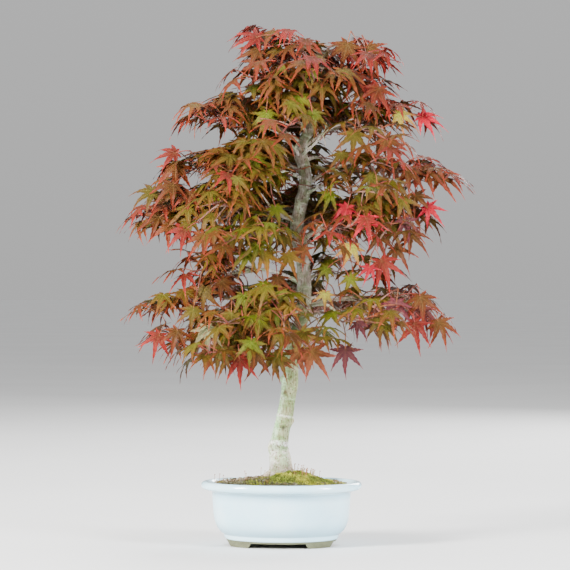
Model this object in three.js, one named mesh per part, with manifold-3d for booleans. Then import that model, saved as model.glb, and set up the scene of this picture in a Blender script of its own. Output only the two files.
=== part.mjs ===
// A Japanese maple bonsai in an oval glazed pot.
// Millimetres, +Z up. The origin is on the surface that the pot's feet stand on, under the middle of the whole.
// +X runs along the pot's long side and -Y is the front. The tree's front is turned a little from the pot's.
import * as THREE from "three";
import { mergeVertices } from "three/addons/utils/BufferGeometryUtils.js";
import Module from "manifold-3d";

const wasm = await Module();
wasm.setup();

// Pot
const RIM_LENGTH = 161;
const RIM_DEPTH = 124;
const POT_HEIGHT = 64;
const FOOT_HEIGHT = 5;
const FLOOR_TOP = 10;
const POT_SIDES = 32;
const FEET = { front: 31, end: 15, cove: 3.5 };
// The pot's wall in section: how far in from the rim's outermost point, and the height.
const OUTSIDE = [
  [27.5, 0],
  [24.2, 8],
  [22.4, 11.5],
  [16.5, 17.5],
  [13.3, 25],
  [10.7, 53],
  [2.5, 55],
  [0, 59],
  [1.2, 62.6],
  [5, POT_HEIGHT],
];
const INSIDE = [
  [12, 59.5],
  [15, 36],
  [19.5, 19],
  [30, FLOOR_TOP],
];
const DRAIN = { x: 27, radius: 6, sides: 10 };
const SCREEN = { side: 20, thick: 1, cell: 5, bar: 2.5, cells: 2 };
const WIRE = { radius: 0.6, leg: 3.2, foot: 6, sides: 5 };

// Soil and moss
const SEAT_GAP = 0.3;
const SOIL = { edge: 60.4, inset: 0.5, shares: [0.68, 0.34] };
const MOUND = { x: 4, y: 0, height: 9.2, width: 30 };
const RIPPLE = { height: 0.7, x: 7, y: 6 };
const MOSS = { x: 19, y: -9, long: 43, short: 29, turn: -6, thick: 4.5, lump: 0.8, sides: 20 };

// The tree's front is turned this far from the pot's, in degrees.
const TREE_TURN = 5;

// Trunk line from under the soil to the tip: x, y, z and radius. It swells at old nodes and under branches.
const TRUNK = [
  [0, 0, 46, 9],
  [-0.2, 0, 60, 17],
  [-0.4, 0, 67, 14.5],
  [-0.6, 0, 74, 12],
  [-1.4, 0.2, 82, 10.5],
  [-2.8, 0.6, 97, 9.5],
  [-2, 1, 103, 8.8],
  [0.6, 1.6, 117, 8.3],
  [3.2, 2.2, 126, 8.3],
  [6.6, 3.2, 147, 7.6],
  [8.6, 4, 162, 8.1],
  [9.6, 4.5, 176, 7.3],
  [10.4, 4.8, 192, 7.2],
  [13.8, 4.6, 206, 7.4],
  [19.5, 4, 222, 6.8],
  [22.6, 3.2, 238, 6.7],
  [22.8, 2.2, 258, 7.2],
  [21.6, 0.6, 282, 6.6],
  [17.2, -1, 306, 7],
  [15.6, -1.6, 320, 6.6],
  [19.5, -1, 340, 6.3],
  [24, 0.4, 360, 6.6],
  [22.6, 1.6, 378, 6.2],
  [19, 2.6, 392, 6.8],
  [22.5, 2.4, 404, 5.6],
  [28.5, 1, 418, 4.8],
  [30, -1, 436, 3.8],
  [27, -3, 456, 2.8],
  [25, -4, 474, 1.8],
];
const TRUNK_SIDES = 10;
const SOCKET_ROWS = 6;
const ROOT_RIDGE = { depth: 0.22, top: 84, fade: 22 };

// Branches: height on the trunk, the tip's x, y and z, how far the middle arches up, radius at the trunk,
// number of side twigs, and the colour of the leaves. They stand in five tiers with air between.
const BRANCHES = [
  [199, -46, -46, 188, 8, 2.1, 1, "orange"],
  [206, -66, 34, 204, 8, 2, 0, "orange"],
  [214, 24, -38, 200, 6, 1.6, 0, "orange"],
  [259, -85, -8, 246, 22, 2.1, 1, "orange"],
  [236, 96, -8, 240, 8, 2, 1, "orange"],
  [232, -24, -46, 218, 8, 1.8, 1, "olive"],
  [226, 60, -46, 224, 8, 1.7, 0, "olive"],
  [244, -2, -42, 238, 6, 1.6, 0, "olive"],
  [240, 60, 62, 236, 10, 1.9, 1, "orange"],
  [252, -30, 72, 246, 10, 2, 1, "orange"],
  [262, 58, 8, 270, 6, 1.6, 0, "olive"],
  [324, -88, -12, 338, 8, 2.2, 2, "orange"],
  [302, 90, -4, 332, 8, 2.2, 1, "orange"],
  [296, -34, -58, 306, 10, 2, 1, "olive"],
  [298, 62, -58, 316, 8, 1.9, 1, "red"],
  [312, 56, 74, 316, 10, 2, 1, "orange"],
  [330, -38, 80, 324, 10, 2, 1, "orange"],
  [372, -56, -12, 386, 8, 2.1, 1, "orange"],
  [360, 116, -8, 376, 14, 2.1, 1, "orange"],
  [366, -20, -54, 362, 8, 1.8, 0, "olive"],
  [350, 66, -50, 350, 8, 1.8, 0, "olive"],
  [384, 60, 60, 378, 8, 1.9, 1, "orange"],
  [376, -24, 66, 376, 8, 1.9, 0, "orange"],
  [400, -40, -6, 424, 6, 1.9, 1, "orange"],
  [397, 84, -6, 424, 6, 1.9, 1, "orange"],
  [410, 12, -42, 418, 6, 1.7, 0, "orange"],
  [418, 46, 50, 420, 6, 1.7, 0, "orange"],
  [424, -16, 44, 424, 6, 1.7, 0, "orange"],
  [440, 64, -6, 466, 5, 1.6, 0, "orange"],
  [436, 8, -20, 460, 4, 1.5, 0, "orange"],
  [446, 32, -36, 462, 4, 1.4, 0, "orange"],
  [456, 46, 12, 486, 3, 1.4, 0, "orange"],
  [460, -2, 10, 486, 3, 1.4, 0, "red"],
];
const BRANCH = { sides: 4, steps: 4, sway: 5, tipShare: 0.45 };
const TWIG = { first: 0.36, last: 0.78, angle: 46, length: 40, arch: 3, fall: -3 };
const TWIG_TUBE = { radius: 1.1, sides: 3, steps: 2 };
const LEADER = { lean: 56, heading: 250, tone: "red" };
const UPSWEEP = { from: 400, rate: 0.3 };

// A leafy shoot and its leaves
const SHOOT = { length: 42, lift: 3, fall: -4, lean: 17, radius: 1, tipRadius: 0.8, node: 0.036, steps: 3 };
const LEAF_PAIRS = [
  { along: 0.12, heading: 106, petiole: 21 },
  { along: 0.56, heading: 56, petiole: 21 },
  { along: 1, heading: 20, petiole: 16 },
];
const LEAF = { long: 29, thick: 1.3, droop: 0.42, fold: 0.02, petioleRadius: 0.42 };
const LOBES = [
  { turn: 0, reach: 1 },
  { turn: 42, reach: 0.9 },
  { turn: 88, reach: 0.64 },
];
const SINUSES = [
  { turn: 21, reach: 0.28 },
  { turn: 65, reach: 0.24 },
];
const NOTCH = 0.07;
// Ways to bend a shoot, tried in turn until it is clear: turn and lift, in degrees.
const SHOOT_BENDS = [
  [0, 0],
  [0, 12],
  [0, -12],
  [14, 6],
  [-14, 6],
  [0, 26],
  [22, -16],
  [-22, -16],
  [36, 0],
  [-36, 0],
  [0, 42],
  [0, -38],
  [60, 20],
  [-60, 20],
];
// Ways to hold a leaf, tried in turn until it is clear of all others: petiole pitch, blade pitch and turn, in
// degrees. A draw picks which of the first ways is tried first.
const HOLDS = [
  [20, 14, 0],
  [36, 24, 10],
  [8, 8, -10],
  [24, 32, 6],
  [52, 18, 16],
  [-12, 30, 12],
  [14, 2, 26],
  [64, 10, -28],
  [-26, 42, 32],
  [22, 52, -38],
];
const FIRST_HOLDS = 4;
// Room kept round a leaf and a stem. Its own shoot and the others leave out these shares of the petiole.
const CLEARANCE = { thick: 2.2, radius: 0.9, stem: 0.6, ownPetiole: 0.3, petiole: 0.06 };

const COLOURS = {
  glaze: new THREE.MeshStandardMaterial({ color: 0xe4eff2, roughness: 0.18 }),
  bark: new THREE.MeshStandardMaterial({ color: 0xb9b8a2, roughness: 0.75 }),
  soil: new THREE.MeshStandardMaterial({ color: 0x6e5540, roughness: 0.95 }),
  moss: new THREE.MeshStandardMaterial({ color: 0x96a02c, roughness: 0.95 }),
  screen: new THREE.MeshStandardMaterial({ color: 0x1f2a22, roughness: 0.6 }),
  wire: new THREE.MeshStandardMaterial({ color: 0xb5b8bb, roughness: 0.35, metalness: 1 }),
  olive: new THREE.MeshStandardMaterial({ color: 0x9a8a30, roughness: 0.6 }),
  orange: new THREE.MeshStandardMaterial({ color: 0xb5642c, roughness: 0.6 }),
  red: new THREE.MeshStandardMaterial({ color: 0xc23a2c, roughness: 0.6 }),
};

const rad = THREE.MathUtils.degToRad;
const vec = (x, y, z) => new THREE.Vector3(x, y, z);
const level = (degrees) => vec(Math.cos(rad(degrees)), Math.sin(rad(degrees)), 0);

// A repeatable draw between low and high for any three whole numbers.
function draw(low, high, a, b, c) {
  const s = Math.sin(a * 127.1 + b * 311.7 + c * 74.7) * 43758.5453;
  return low + (high - low) * (s - Math.floor(s));
}

// Geometry from points and the faces' corner numbers.
function shell(points, faces) {
  const geometry = new THREE.BufferGeometry().setFromPoints(points);
  return geometry.setIndex(faces.flat());
}

// The geometry as a solid that can be cut and joined.
function solidOf(geometry) {
  const bare = geometry.clone();
  bare.deleteAttribute("normal");
  bare.deleteAttribute("uv");
  const merged = mergeVertices(bare, 1e-4);
  const triVerts = new Uint32Array(merged.index.array);
  return new wasm.Manifold(
    new wasm.Mesh({ numProp: 3, vertProperties: merged.attributes.position.array, triVerts }),
  );
}

// A named mesh from a solid, in the frame it was made in.
function meshOf(name, solid, material) {
  const made = solid.getMesh();
  const geometry = new THREE.BufferGeometry()
    .setAttribute("position", new THREE.BufferAttribute(made.vertProperties, 3))
    .setIndex(new THREE.BufferAttribute(made.triVerts, 1));
  geometry.computeVertexNormals();
  const mesh = new THREE.Mesh(geometry, material);
  mesh.name = name;
  return mesh;
}

const joined = (solids) => solids.reduce((all, next) => all.add(next));

// A closed skin over rings of points, all of one length, with flat ends.
function loft(rings) {
  const sides = rings[0].length;
  const faces = [];
  for (let i = 0; i + 1 < rings.length; i++) {
    for (let j = 0; j < sides; j++) {
      const a = i * sides + j;
      const b = i * sides + ((j + 1) % sides);
      faces.push([a, b, b + sides], [a, b + sides, a + sides]);
    }
  }
  const last = (rings.length - 1) * sides;
  for (let j = 1; j + 1 < sides; j++) {
    faces.push([0, j + 1, j], [last, last + j, last + j + 1]);
  }
  return shell(rings.flat(), faces);
}

// A tube along points, with its own radius at each, and with its corners moved out or in by swell.
function tube(points, radii, sides, swell = () => 1) {
  const up = vec(0, 0, 1);
  const rings = points.map((point, i) => {
    const before = points[Math.max(i - 1, 0)];
    const after = points[Math.min(i + 1, points.length - 1)];
    const turn = new THREE.Quaternion().setFromUnitVectors(up, after.clone().sub(before).normalize());
    return Array.from({ length: sides }, (_, j) =>
      level((360 * j) / sides).multiplyScalar(radii[i] * swell(i, j)).applyQuaternion(turn).add(point),
    );
  });
  return loft(rings);
}

// Pot: a turned profile made oval, with the spaces between the feet and two drain holes cut out.
function pot() {
  const wall = [...OUTSIDE, ...INSIDE].map(([inset, z]) => new THREE.Vector2(RIM_LENGTH / 2 - inset, z));
  const profile = [new THREE.Vector2(0, 0), ...wall, new THREE.Vector2(0, FLOOR_TOP)];
  const turned = new THREE.LatheGeometry(profile, POT_SIDES);
  turned.rotateX(Math.PI / 2);
  turned.scale(1, RIM_DEPTH / RIM_LENGTH, 1);
  let body = solidOf(turned);
  for (const [half, heading] of [
    [FEET.front, 0],
    [FEET.end, 90],
  ]) {
    body = body.subtract(footSpace(half, heading));
  }
  for (const x of [-DRAIN.x, DRAIN.x]) {
    const hole = new THREE.CylinderGeometry(DRAIN.radius, DRAIN.radius, 2 * FLOOR_TOP, DRAIN.sides);
    hole.rotateX(Math.PI / 2);
    hole.translate(x, 0, FLOOR_TOP / 2);
    body = body.subtract(solidOf(hole));
  }
  return body;
}

// The space between two feet, with coved ends, right through under the pot.
function footSpace(half, heading) {
  const outline = new THREE.Shape();
  outline.moveTo(-half, -1);
  outline.lineTo(-half, 0);
  outline.quadraticCurveTo(-half + FEET.cove, 0.5, -half + FEET.cove, FOOT_HEIGHT);
  outline.lineTo(half - FEET.cove, FOOT_HEIGHT);
  outline.quadraticCurveTo(half - FEET.cove, 0.5, half, 0);
  outline.lineTo(half, -1);
  const options = { depth: RIM_LENGTH, bevelEnabled: false, curveSegments: 4 };
  const run = new THREE.ExtrudeGeometry(outline, options);
  run.translate(0, 0, -RIM_LENGTH / 2);
  run.rotateX(Math.PI / 2);
  run.rotateZ(rad(heading));
  return solidOf(run);
}

// A square plastic net, with holes wide enough for the clip's wire.
function drainScreen(x) {
  const plate = new THREE.BoxGeometry(SCREEN.side, SCREEN.side, SCREEN.thick);
  const z = FLOOR_TOP + SEAT_GAP + SCREEN.thick / 2;
  let net = solidOf(plate.translate(x, 0, z));
  const pitch = SCREEN.cell + SCREEN.bar;
  const middle = (SCREEN.cells - 1) / 2;
  for (let i = 0; i < SCREEN.cells; i++) {
    for (let j = 0; j < SCREEN.cells; j++) {
      const cell = new THREE.BoxGeometry(SCREEN.cell, SCREEN.cell, 3 * SCREEN.thick);
      net = net.subtract(solidOf(cell.translate(x + (i - middle) * pitch, (j - middle) * pitch, z)));
    }
  }
  return net;
}

// A wire clip: over the screen, down through the hole, and bent out under the floor.
function screenClip(x) {
  const { radius, leg, foot, sides } = WIRE;
  const top = FLOOR_TOP + SCREEN.thick + 2 * SEAT_GAP + radius;
  const under = FOOT_HEIGHT - SEAT_GAP - radius;
  const y = (SCREEN.cell + SCREEN.bar) / 2;
  const line = [
    vec(x - leg - foot, y, under),
    vec(x - leg - radius, y, under),
    vec(x - leg, y, under + radius),
    vec(x - leg, y, top - radius),
    vec(x - leg + radius, y, top),
    vec(x + leg - radius, y, top),
    vec(x + leg, y, top - radius),
    vec(x + leg, y, under + radius),
    vec(x + leg + radius, y, under),
    vec(x + leg + foot, y, under),
  ];
  const rings = line.map((point, i) => {
    const before = line[Math.max(i - 1, 0)];
    const after = line[Math.min(i + 1, line.length - 1)];
    const side = vec(0, 1, 0);
    const out = side.clone().cross(after.clone().sub(before).normalize());
    return Array.from({ length: sides }, (_, j) => {
      const a = (2 * Math.PI * j) / sides;
      const corner = point.clone().addScaledVector(out, radius * Math.cos(a));
      return corner.addScaledVector(side, radius * Math.sin(a));
    });
  });
  return solidOf(loft(rings));
}

// Height of the soil at a place, mounded round the trunk, in the pot's frame.
function soilHeight(x, y) {
  const away = ((x - MOUND.x) ** 2 + (y - MOUND.y) ** 2) / (2 * MOUND.width ** 2);
  const ripple = RIPPLE.height * Math.sin(x / RIPPLE.x) * Math.cos(y / RIPPLE.y);
  return SOIL.edge + MOUND.height * Math.exp(-away) + ripple;
}

// Soil: fills the pot's inside, with a mounded top and room for the screens.
function soil() {
  const squeeze = RIM_DEPTH / RIM_LENGTH;
  const ringAt = (inset, height, share = 1) =>
    Array.from({ length: POT_SIDES }, (_, j) => {
      const at = level((360 * j) / POT_SIDES).multiplyScalar(share * (RIM_LENGTH / 2 - inset));
      return vec(at.x, at.y * squeeze, height ?? soilHeight(at.x, at.y * squeeze));
    });
  const [top, ...lower] = INSIDE;
  const rings = lower.reverse().map(([inset, height]) => ringAt(inset + SOIL.inset, height + SEAT_GAP));
  rings.push(ringAt(top[0] + SOIL.inset, SOIL.edge - SEAT_GAP));
  rings.push(...SOIL.shares.map((share) => ringAt(top[0] + SOIL.inset, null, share)));
  let body = solidOf(loft(rings));
  const room = SCREEN.side + 2 * SCREEN.thick;
  for (const x of [-DRAIN.x, DRAIN.x]) {
    const space = new THREE.BoxGeometry(room, room, 6 * SCREEN.thick);
    body = body.subtract(solidOf(space.translate(x, 0, FLOOR_TOP)));
  }
  return body;
}

// Moss: a low cushion, lumpy on top, that lies on the soil and thins to its edge.
function moss(ground, socket) {
  const { x, y, long, short, turn, thick, lump, sides } = MOSS;
  const ring = (share, lift) =>
    Array.from({ length: sides }, (_, j) => {
      const a = (2 * Math.PI * j) / sides;
      const wave = share * (1 + 0.08 * Math.sin(3 * a + 1) + 0.05 * Math.sin(5 * a));
      const at = vec(long * wave * Math.cos(a), short * wave * Math.sin(a), 0);
      at.applyAxisAngle(vec(0, 0, 1), rad(turn)).add(vec(x, y, 0));
      const lumps = lift > 0 ? lump * Math.sin(at.x / 3.1) * Math.sin(at.y / 2.7) : 0;
      return at.setZ(soilHeight(at.x, at.y) + lift + lumps);
    });
  const dome = solidOf(loft([ring(0.95, -thick), ring(1, -1), ring(0.84, 0.6 * thick), ring(0.5, thick)]));
  return dome.subtract(ground.translate(0, 0, SEAT_GAP)).subtract(socket);
}

// The middle of the trunk at a height.
function trunkAt(z) {
  const i = TRUNK.findIndex((row) => row[2] > z);
  const [low, high] = [TRUNK[i - 1], TRUNK[i]];
  const share = (z - low[2]) / (high[2] - low[2]);
  return vec(...low).lerp(vec(...high), share);
}

// The trunk up to a row of the table, ridged by its roots at the foot. clear widens it, for the soil's socket.
function trunk(count, clear) {
  const rows = TRUNK.slice(0, count);
  const swell = (z, j) => {
    const share = THREE.MathUtils.clamp((ROOT_RIDGE.top - z) / ROOT_RIDGE.fade, 0, 1);
    return 1 + ROOT_RIDGE.depth * share * (j % 2 ? -1 : 1);
  };
  const points = rows.map(([x, y, z]) => vec(x, y, z));
  points[0].z -= clear;
  const radii = rows.map((row) => row[3] + clear);
  return solidOf(tube(points, radii, TRUNK_SIDES, (i, j) => swell(rows[i][2], j)));
}

// A curved limb from start to end, arched up and swayed aside between.
function limb(start, end, arch, sway, steps) {
  const run = end.clone().sub(start);
  const aside = vec(-run.y, run.x, 0).normalize();
  return Array.from({ length: steps + 1 }, (_, i) => {
    const s = i / steps;
    return start.clone().addScaledVector(run, s).addScaledVector(aside, sway * Math.sin(2 * Math.PI * s))
      .add(vec(0, 0, 4 * arch * s * (1 - s)));
  });
}

// A point part of the way along a line of points, and the heading there in degrees.
function along(points, share) {
  const at = Math.min(share * (points.length - 1), points.length - 1.001);
  const i = Math.floor(at);
  const run = points[i + 1].clone().sub(points[i]);
  return {
    point: points[i].clone().addScaledVector(run, at - i),
    heading: THREE.MathUtils.radToDeg(Math.atan2(run.y, run.x)),
    ahead: run.normalize(),
  };
}

// Every branch and side twig as a line with radii, and where each leafy shoot starts.
function skeleton() {
  const limbs = [];
  const shoots = [];
  const endWithShoot = (line, tone, held = {}) => {
    const end = along(line, 1);
    const start = line.at(-1).clone().addScaledVector(end.ahead, SEAT_GAP);
    const upsweep = UPSWEEP.rate * Math.max(start.z - UPSWEEP.from, 0);
    const lean = upsweep + draw(-SHOOT.lean, SHOOT.lean, shoots.length, 2, 5);
    shoots.push({ start, ahead: end.ahead, heading: end.heading, lean, tone, ...held });
  };
  BRANCHES.forEach(([height, x, y, z, arch, radius, twigs, tone], b) => {
    const sway = draw(-BRANCH.sway, BRANCH.sway, b, 1, 0);
    const line = limb(trunkAt(height), vec(x, y, z), arch, sway, BRANCH.steps);
    const radii = line.map((_, i) => radius * (1 - (1 - BRANCH.tipShare) * (i / BRANCH.steps)));
    limbs.push({ line, radii, sides: BRANCH.sides });
    endWithShoot(line, tone);
    for (let t = 0; t < twigs; t++) {
      const share = twigs === 1 ? 0.5 : TWIG.first + ((TWIG.last - TWIG.first) * t) / (twigs - 1);
      const side = (t + b) % 2 ? 1 : -1;
      const from = along(line, share);
      const away = level(from.heading + side * (TWIG.angle + draw(-8, 8, b, t, 2)));
      const length = TWIG.length * draw(0.85, 1.15, b, t, 3) * (1.15 - 0.3 * share);
      const tip = from.point.clone().addScaledVector(away, length).add(vec(0, 0, TWIG.fall));
      const twig = limb(from.point, tip, TWIG.arch, draw(-2, 2, b, t, 4), TWIG_TUBE.steps);
      const thin = twig.map((_, i) => TWIG_TUBE.radius * (1.15 - 0.3 * (i / TWIG_TUBE.steps)));
      limbs.push({ line: twig, radii: thin, sides: TWIG_TUBE.sides });
      endWithShoot(twig, tone);
    }
  });
  const { tone, ...held } = LEADER;
  endWithShoot(TRUNK.map(([x, y, z]) => vec(x, y, z)), tone, held);
  return { limbs, shoots };
}

// Trunk, branches and twigs, grown as one piece.
function wood(limbs) {
  const grown = limbs.map(({ line, radii, sides }) => solidOf(tube(line, radii, sides)));
  return joined([trunk(TRUNK.length, 0), ...grown]);
}

// A palmate leaf with its petiole, as points and faces: a blade that is thickest at its ribs and thin at its edge.
// frame places the blade: x to the middle lobe's tip, y to its left, z up through it. base holds the corners
// that the petiole starts from: low left, low right, high right and high left, as the leaf looks.
function leafSkin(frame, size, thick, radius, base) {
  const long = LEAF.long * size;
  const at = (turn, reach, z) => level(turn).multiplyScalar(reach * long).add(vec(0, 0, z));
  const tip = ({ turn, reach }, side) => at(side * turn, reach, -LEAF.droop * reach * reach * long);
  const dip = ({ turn, reach }, side) => at(side * turn, reach, LEAF.fold * long);
  const [middle, ...sides] = LOBES;
  const outline = [
    vec(-NOTCH * long, 0, 0),
    ...[...sides].reverse().flatMap((lobe, i) => [tip(lobe, -1), dip(SINUSES.at(-1 - i), -1)]),
    tip(middle, 1),
    ...sides.flatMap((lobe, i) => [dip(SINUSES[i], 1), tip(lobe, 1)]),
  ];
  const foot = base.reduce((sum, corner) => sum.add(corner), vec(0, 0, 0)).divideScalar(base.length);
  const away = foot.applyMatrix4(frame.clone().invert()).normalize();
  const low = away.clone().cross(vec(0, 1, 0)).normalize();
  const neck = away.clone().multiplyScalar(1.6 * radius).add(vec(0, 0, -0.4 * thick));
  const collar = [[1, 1], [1, -1], [-1, -1], [-1, 1]].map(([down, left]) =>
    neck.clone().addScaledVector(low, down * radius).add(vec(0, left * radius, 0)),
  );
  const n = outline.length;
  const half = n / 2;
  const crown = n;
  const [lowLeft, lowRight, highRight, highLeft] = [n + 1, n + 2, n + 3, n + 4];
  const cornerOf = (i) => (i === 0 ? highRight : i < half ? lowRight : i < n - 1 ? lowLeft : highLeft);
  const faces = [
    [0, highLeft, highRight],
    [1, highRight, lowRight],
    [half, lowRight, lowLeft],
    [n - 1, lowLeft, highLeft],
  ];
  for (let i = 0; i < n; i++) {
    const next = (i + 1) % n;
    faces.push([crown, i, next], [cornerOf(i), next, i]);
  }
  for (let k = 0; k < 4; k++) {
    const a = lowLeft + k;
    const b = lowLeft + ((k + 1) % 4);
    faces.push([a, b, b + 4], [a, b + 4, a + 4]);
  }
  const blade = [...outline, vec(0, 0, thick / 2), ...collar].map((point) => point.applyMatrix4(frame));
  return { points: [...blade, ...base.map((corner) => corner.clone())], faces };
}

// One geometry from several skins whose edges meet.
function sewn(skins) {
  const points = [];
  const faces = [];
  for (const skin of skins) {
    const first = points.length;
    points.push(...skin.points);
    faces.push(...skin.faces.map((face) => face.map((corner) => corner + first)));
  }
  return shell(points, faces);
}

// The room that a leaf needs, closed at its foot. from is the share of the petiole that is left out.
function leafRoom(frame, size, foot, from) {
  const { thick, radius } = CLEARANCE;
  const centre = vec(0, 0, 0).setFromMatrixPosition(frame);
  const ahead = centre.clone().sub(foot);
  const left = vec(-ahead.y, ahead.x, 0).normalize();
  const up = ahead.clone().cross(left).normalize();
  const start = foot.clone().addScaledVector(ahead, from);
  const base = [[-1, 1], [-1, -1], [1, -1], [1, 1]].map(([high, aside]) =>
    start.clone().addScaledVector(up, high * radius).addScaledVector(left, aside * radius),
  );
  const skin = leafSkin(frame, size, thick, radius, base);
  const [a, b, c, d] = [4, 3, 2, 1].map((back) => skin.points.length - back);
  skin.faces.push([a, b, c], [a, c, d]);
  const solid = solidOf(sewn([skin]));
  return { solid, box: boxOf(solid) };
}

// Where a blade sits for a petiole that leaves foot along a heading, held one of the ways in HOLDS.
function leafFrame(foot, heading, petiole, [rise, pitch, turn], roll) {
  const out = level(heading).multiplyScalar(Math.cos(rad(rise))).add(vec(0, 0, Math.sin(rad(rise))));
  const centre = foot.clone().addScaledVector(out, petiole);
  const turned = new THREE.Matrix4().makeRotationZ(rad(heading + turn));
  turned.multiply(new THREE.Matrix4().makeRotationY(rad(pitch)));
  turned.multiply(new THREE.Matrix4().makeRotationX(rad(roll)));
  return turned.setPosition(centre);
}

const boxOf = (solid) => {
  const { min, max } = solid.boundingBox();
  return new THREE.Box3(vec(...min), vec(...max));
};

// A shoot's stem: its line, and its four-sided rings at the start and on both sides of each node.
function shootStem({ start, ahead, heading, lean }, length, sway, clear) {
  const tip = start.clone().addScaledVector(level(heading), length * Math.cos(rad(lean)));
  tip.z += length * Math.sin(rad(lean)) + SHOOT.fall;
  const line = limb(start, tip, SHOOT.lift, sway, SHOOT.steps);
  const shares = [0, ...LEAF_PAIRS.flatMap(({ along: at }) => [at - SHOOT.node, at])];
  const rings = shares.map((share) => {
    const at = along(line, share);
    const forward = share === 0 ? ahead : at.ahead;
    const left = vec(-forward.y, forward.x, 0).normalize();
    const up = forward.clone().cross(left).normalize();
    const half = clear + (SHOOT.radius + (SHOOT.tipRadius - SHOOT.radius) * share) / Math.SQRT2;
    return [[1, 1], [-1, 1], [-1, -1], [1, -1]].map(([aside, high]) =>
      at.point.clone().addScaledVector(left, aside * half).addScaledVector(up, high * half),
    );
  });
  return { line, rings };
}

// A stem's faces, counted from the upper one.
const RIGHT_FACE = 1;
const LEFT_FACE = 3;

const blockedBy = (near, { solid, box }) =>
  near.some((other) => other.box.intersectsBox(box) && !other.solid.intersect(solid).isEmpty());

// One leafy shoot: a stem, with pairs of leaves that grow out of its sides at the nodes.
// It is bent clear of everything already placed, and a leaf is left off where no way to hold it clears.
function leafyShoot(shoot, number, placed) {
  const length = SHOOT.length * draw(0.88, 1.1, number, 0, 5);
  const sway = draw(-2, 2, number, 1, 5);
  const bent = SHOOT_BENDS.map(([turn, lift]) => {
    return { ...shoot, heading: shoot.heading + turn, lean: shoot.lean + lift };
  });
  const clears = (way) => {
    const wide = solidOf(loft(shootStem(way, length, sway, CLEARANCE.stem).rings.slice(1)));
    return !blockedBy(placed, { solid: wide, box: boxOf(wide) });
  };
  const { line, rings } = shootStem(bent.find(clears) ?? bent[0], length, sway, 0);
  const stem = solidOf(loft(rings));
  const own = [{ solid: stem, box: boxOf(stem) }];
  const leaves = [];
  const open = new Set();
  LEAF_PAIRS.forEach((pair, p) => {
    const [low, high] = [rings[2 * p + 1], rings[2 * p + 2]];
    const node = along(line, pair.along - SHOOT.node / 2);
    for (const side of [-1, 1]) {
      const key = 10 * p + side;
      const heading = node.heading + side * (pair.heading + draw(-9, 9, number, key, 6));
      const size = draw(0.8, 1.08, number, key, 7);
      const petiole = pair.petiole * draw(0.85, 1.2, number, key, 8);
      const roll = draw(-14, 14, number, key, 9);
      const first = Math.floor(draw(0, FIRST_HOLDS, number, key, 10));
      for (let h = 0; h < HOLDS.length; h++) {
        const hold = HOLDS[(first + h) % HOLDS.length];
        const frame = leafFrame(node.point, heading, petiole, hold, roll);
        const room = leafRoom(frame, size, node.point, CLEARANCE.petiole);
        if (blockedBy(placed, room)) continue;
        if (blockedBy(own, leafRoom(frame, size, node.point, CLEARANCE.ownPetiole))) continue;
        const face = side > 0 ? LEFT_FACE : RIGHT_FACE;
        const base = side > 0 ? [low[3], high[3], high[0], low[0]] : [high[2], low[2], low[1], high[1]];
        leaves.push(leafSkin(frame, size, LEAF.thick, LEAF.petioleRadius, base));
        own.push(room);
        open.add(`${2 * p + 1},${face}`);
        break;
      }
    }
  });
  placed.push(...own);
  const stemSkin = { points: rings.flat(), faces: [] };
  for (let i = 0; i + 1 < rings.length; i++) {
    for (let j = 0; j < 4; j++) {
      if (open.has(`${i},${j}`)) continue;
      const a = 4 * i + j;
      const b = 4 * i + ((j + 1) % 4);
      stemSkin.faces.push([a, b, b + 4], [a, b + 4, a + 4]);
    }
  }
  const last = 4 * (rings.length - 1);
  stemSkin.faces.push([0, 2, 1], [0, 3, 2], [last, last + 1, last + 2], [last, last + 2, last + 3]);
  return solidOf(sewn([stemSkin, ...leaves]));
}

const turned = new THREE.Matrix4().makeRotationZ(rad(TREE_TURN));
const socket = trunk(SOCKET_ROWS, SEAT_GAP).transform(turned.toArray());
const plant = new THREE.Group();
plant.add(meshOf("pot", pot(), COLOURS.glaze));
const ground = soil();
plant.add(meshOf("soil", ground.subtract(socket), COLOURS.soil));
plant.add(meshOf("moss", moss(ground, socket), COLOURS.moss));
for (const [side, x] of [
  ["left", -DRAIN.x],
  ["right", DRAIN.x],
]) {
  plant.add(meshOf(`drain_screen_${side}`, drainScreen(x), COLOURS.screen));
  plant.add(meshOf(`screen_clip_${side}`, screenClip(x), COLOURS.wire));
}

const tree = new THREE.Group();
tree.rotation.z = rad(TREE_TURN);
plant.add(tree);
const { limbs, shoots } = skeleton();
const timber = wood(limbs);
tree.add(meshOf("trunk_and_branches", timber, COLOURS.bark));
const placed = [{ solid: timber, box: boxOf(timber) }];
shoots.forEach((shoot, i) => {
  const name = `leafy_shoot_${String(i + 1).padStart(2, "0")}`;
  tree.add(meshOf(name, leafyShoot(shoot, i, placed), COLOURS[shoot.tone]));
});

// The plant is moved so that the middle of its whole box stands over the origin.
const middle = new THREE.Box3().setFromObject(plant, true).getCenter(new THREE.Vector3());
plant.position.set(-middle.x, -middle.y, 0);
const bonsai = new THREE.Group();
bonsai.add(plant);

export default bonsai;
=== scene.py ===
import math

import bmesh
import bpy
import numpy as np
from mathutils import Matrix, Vector


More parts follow.
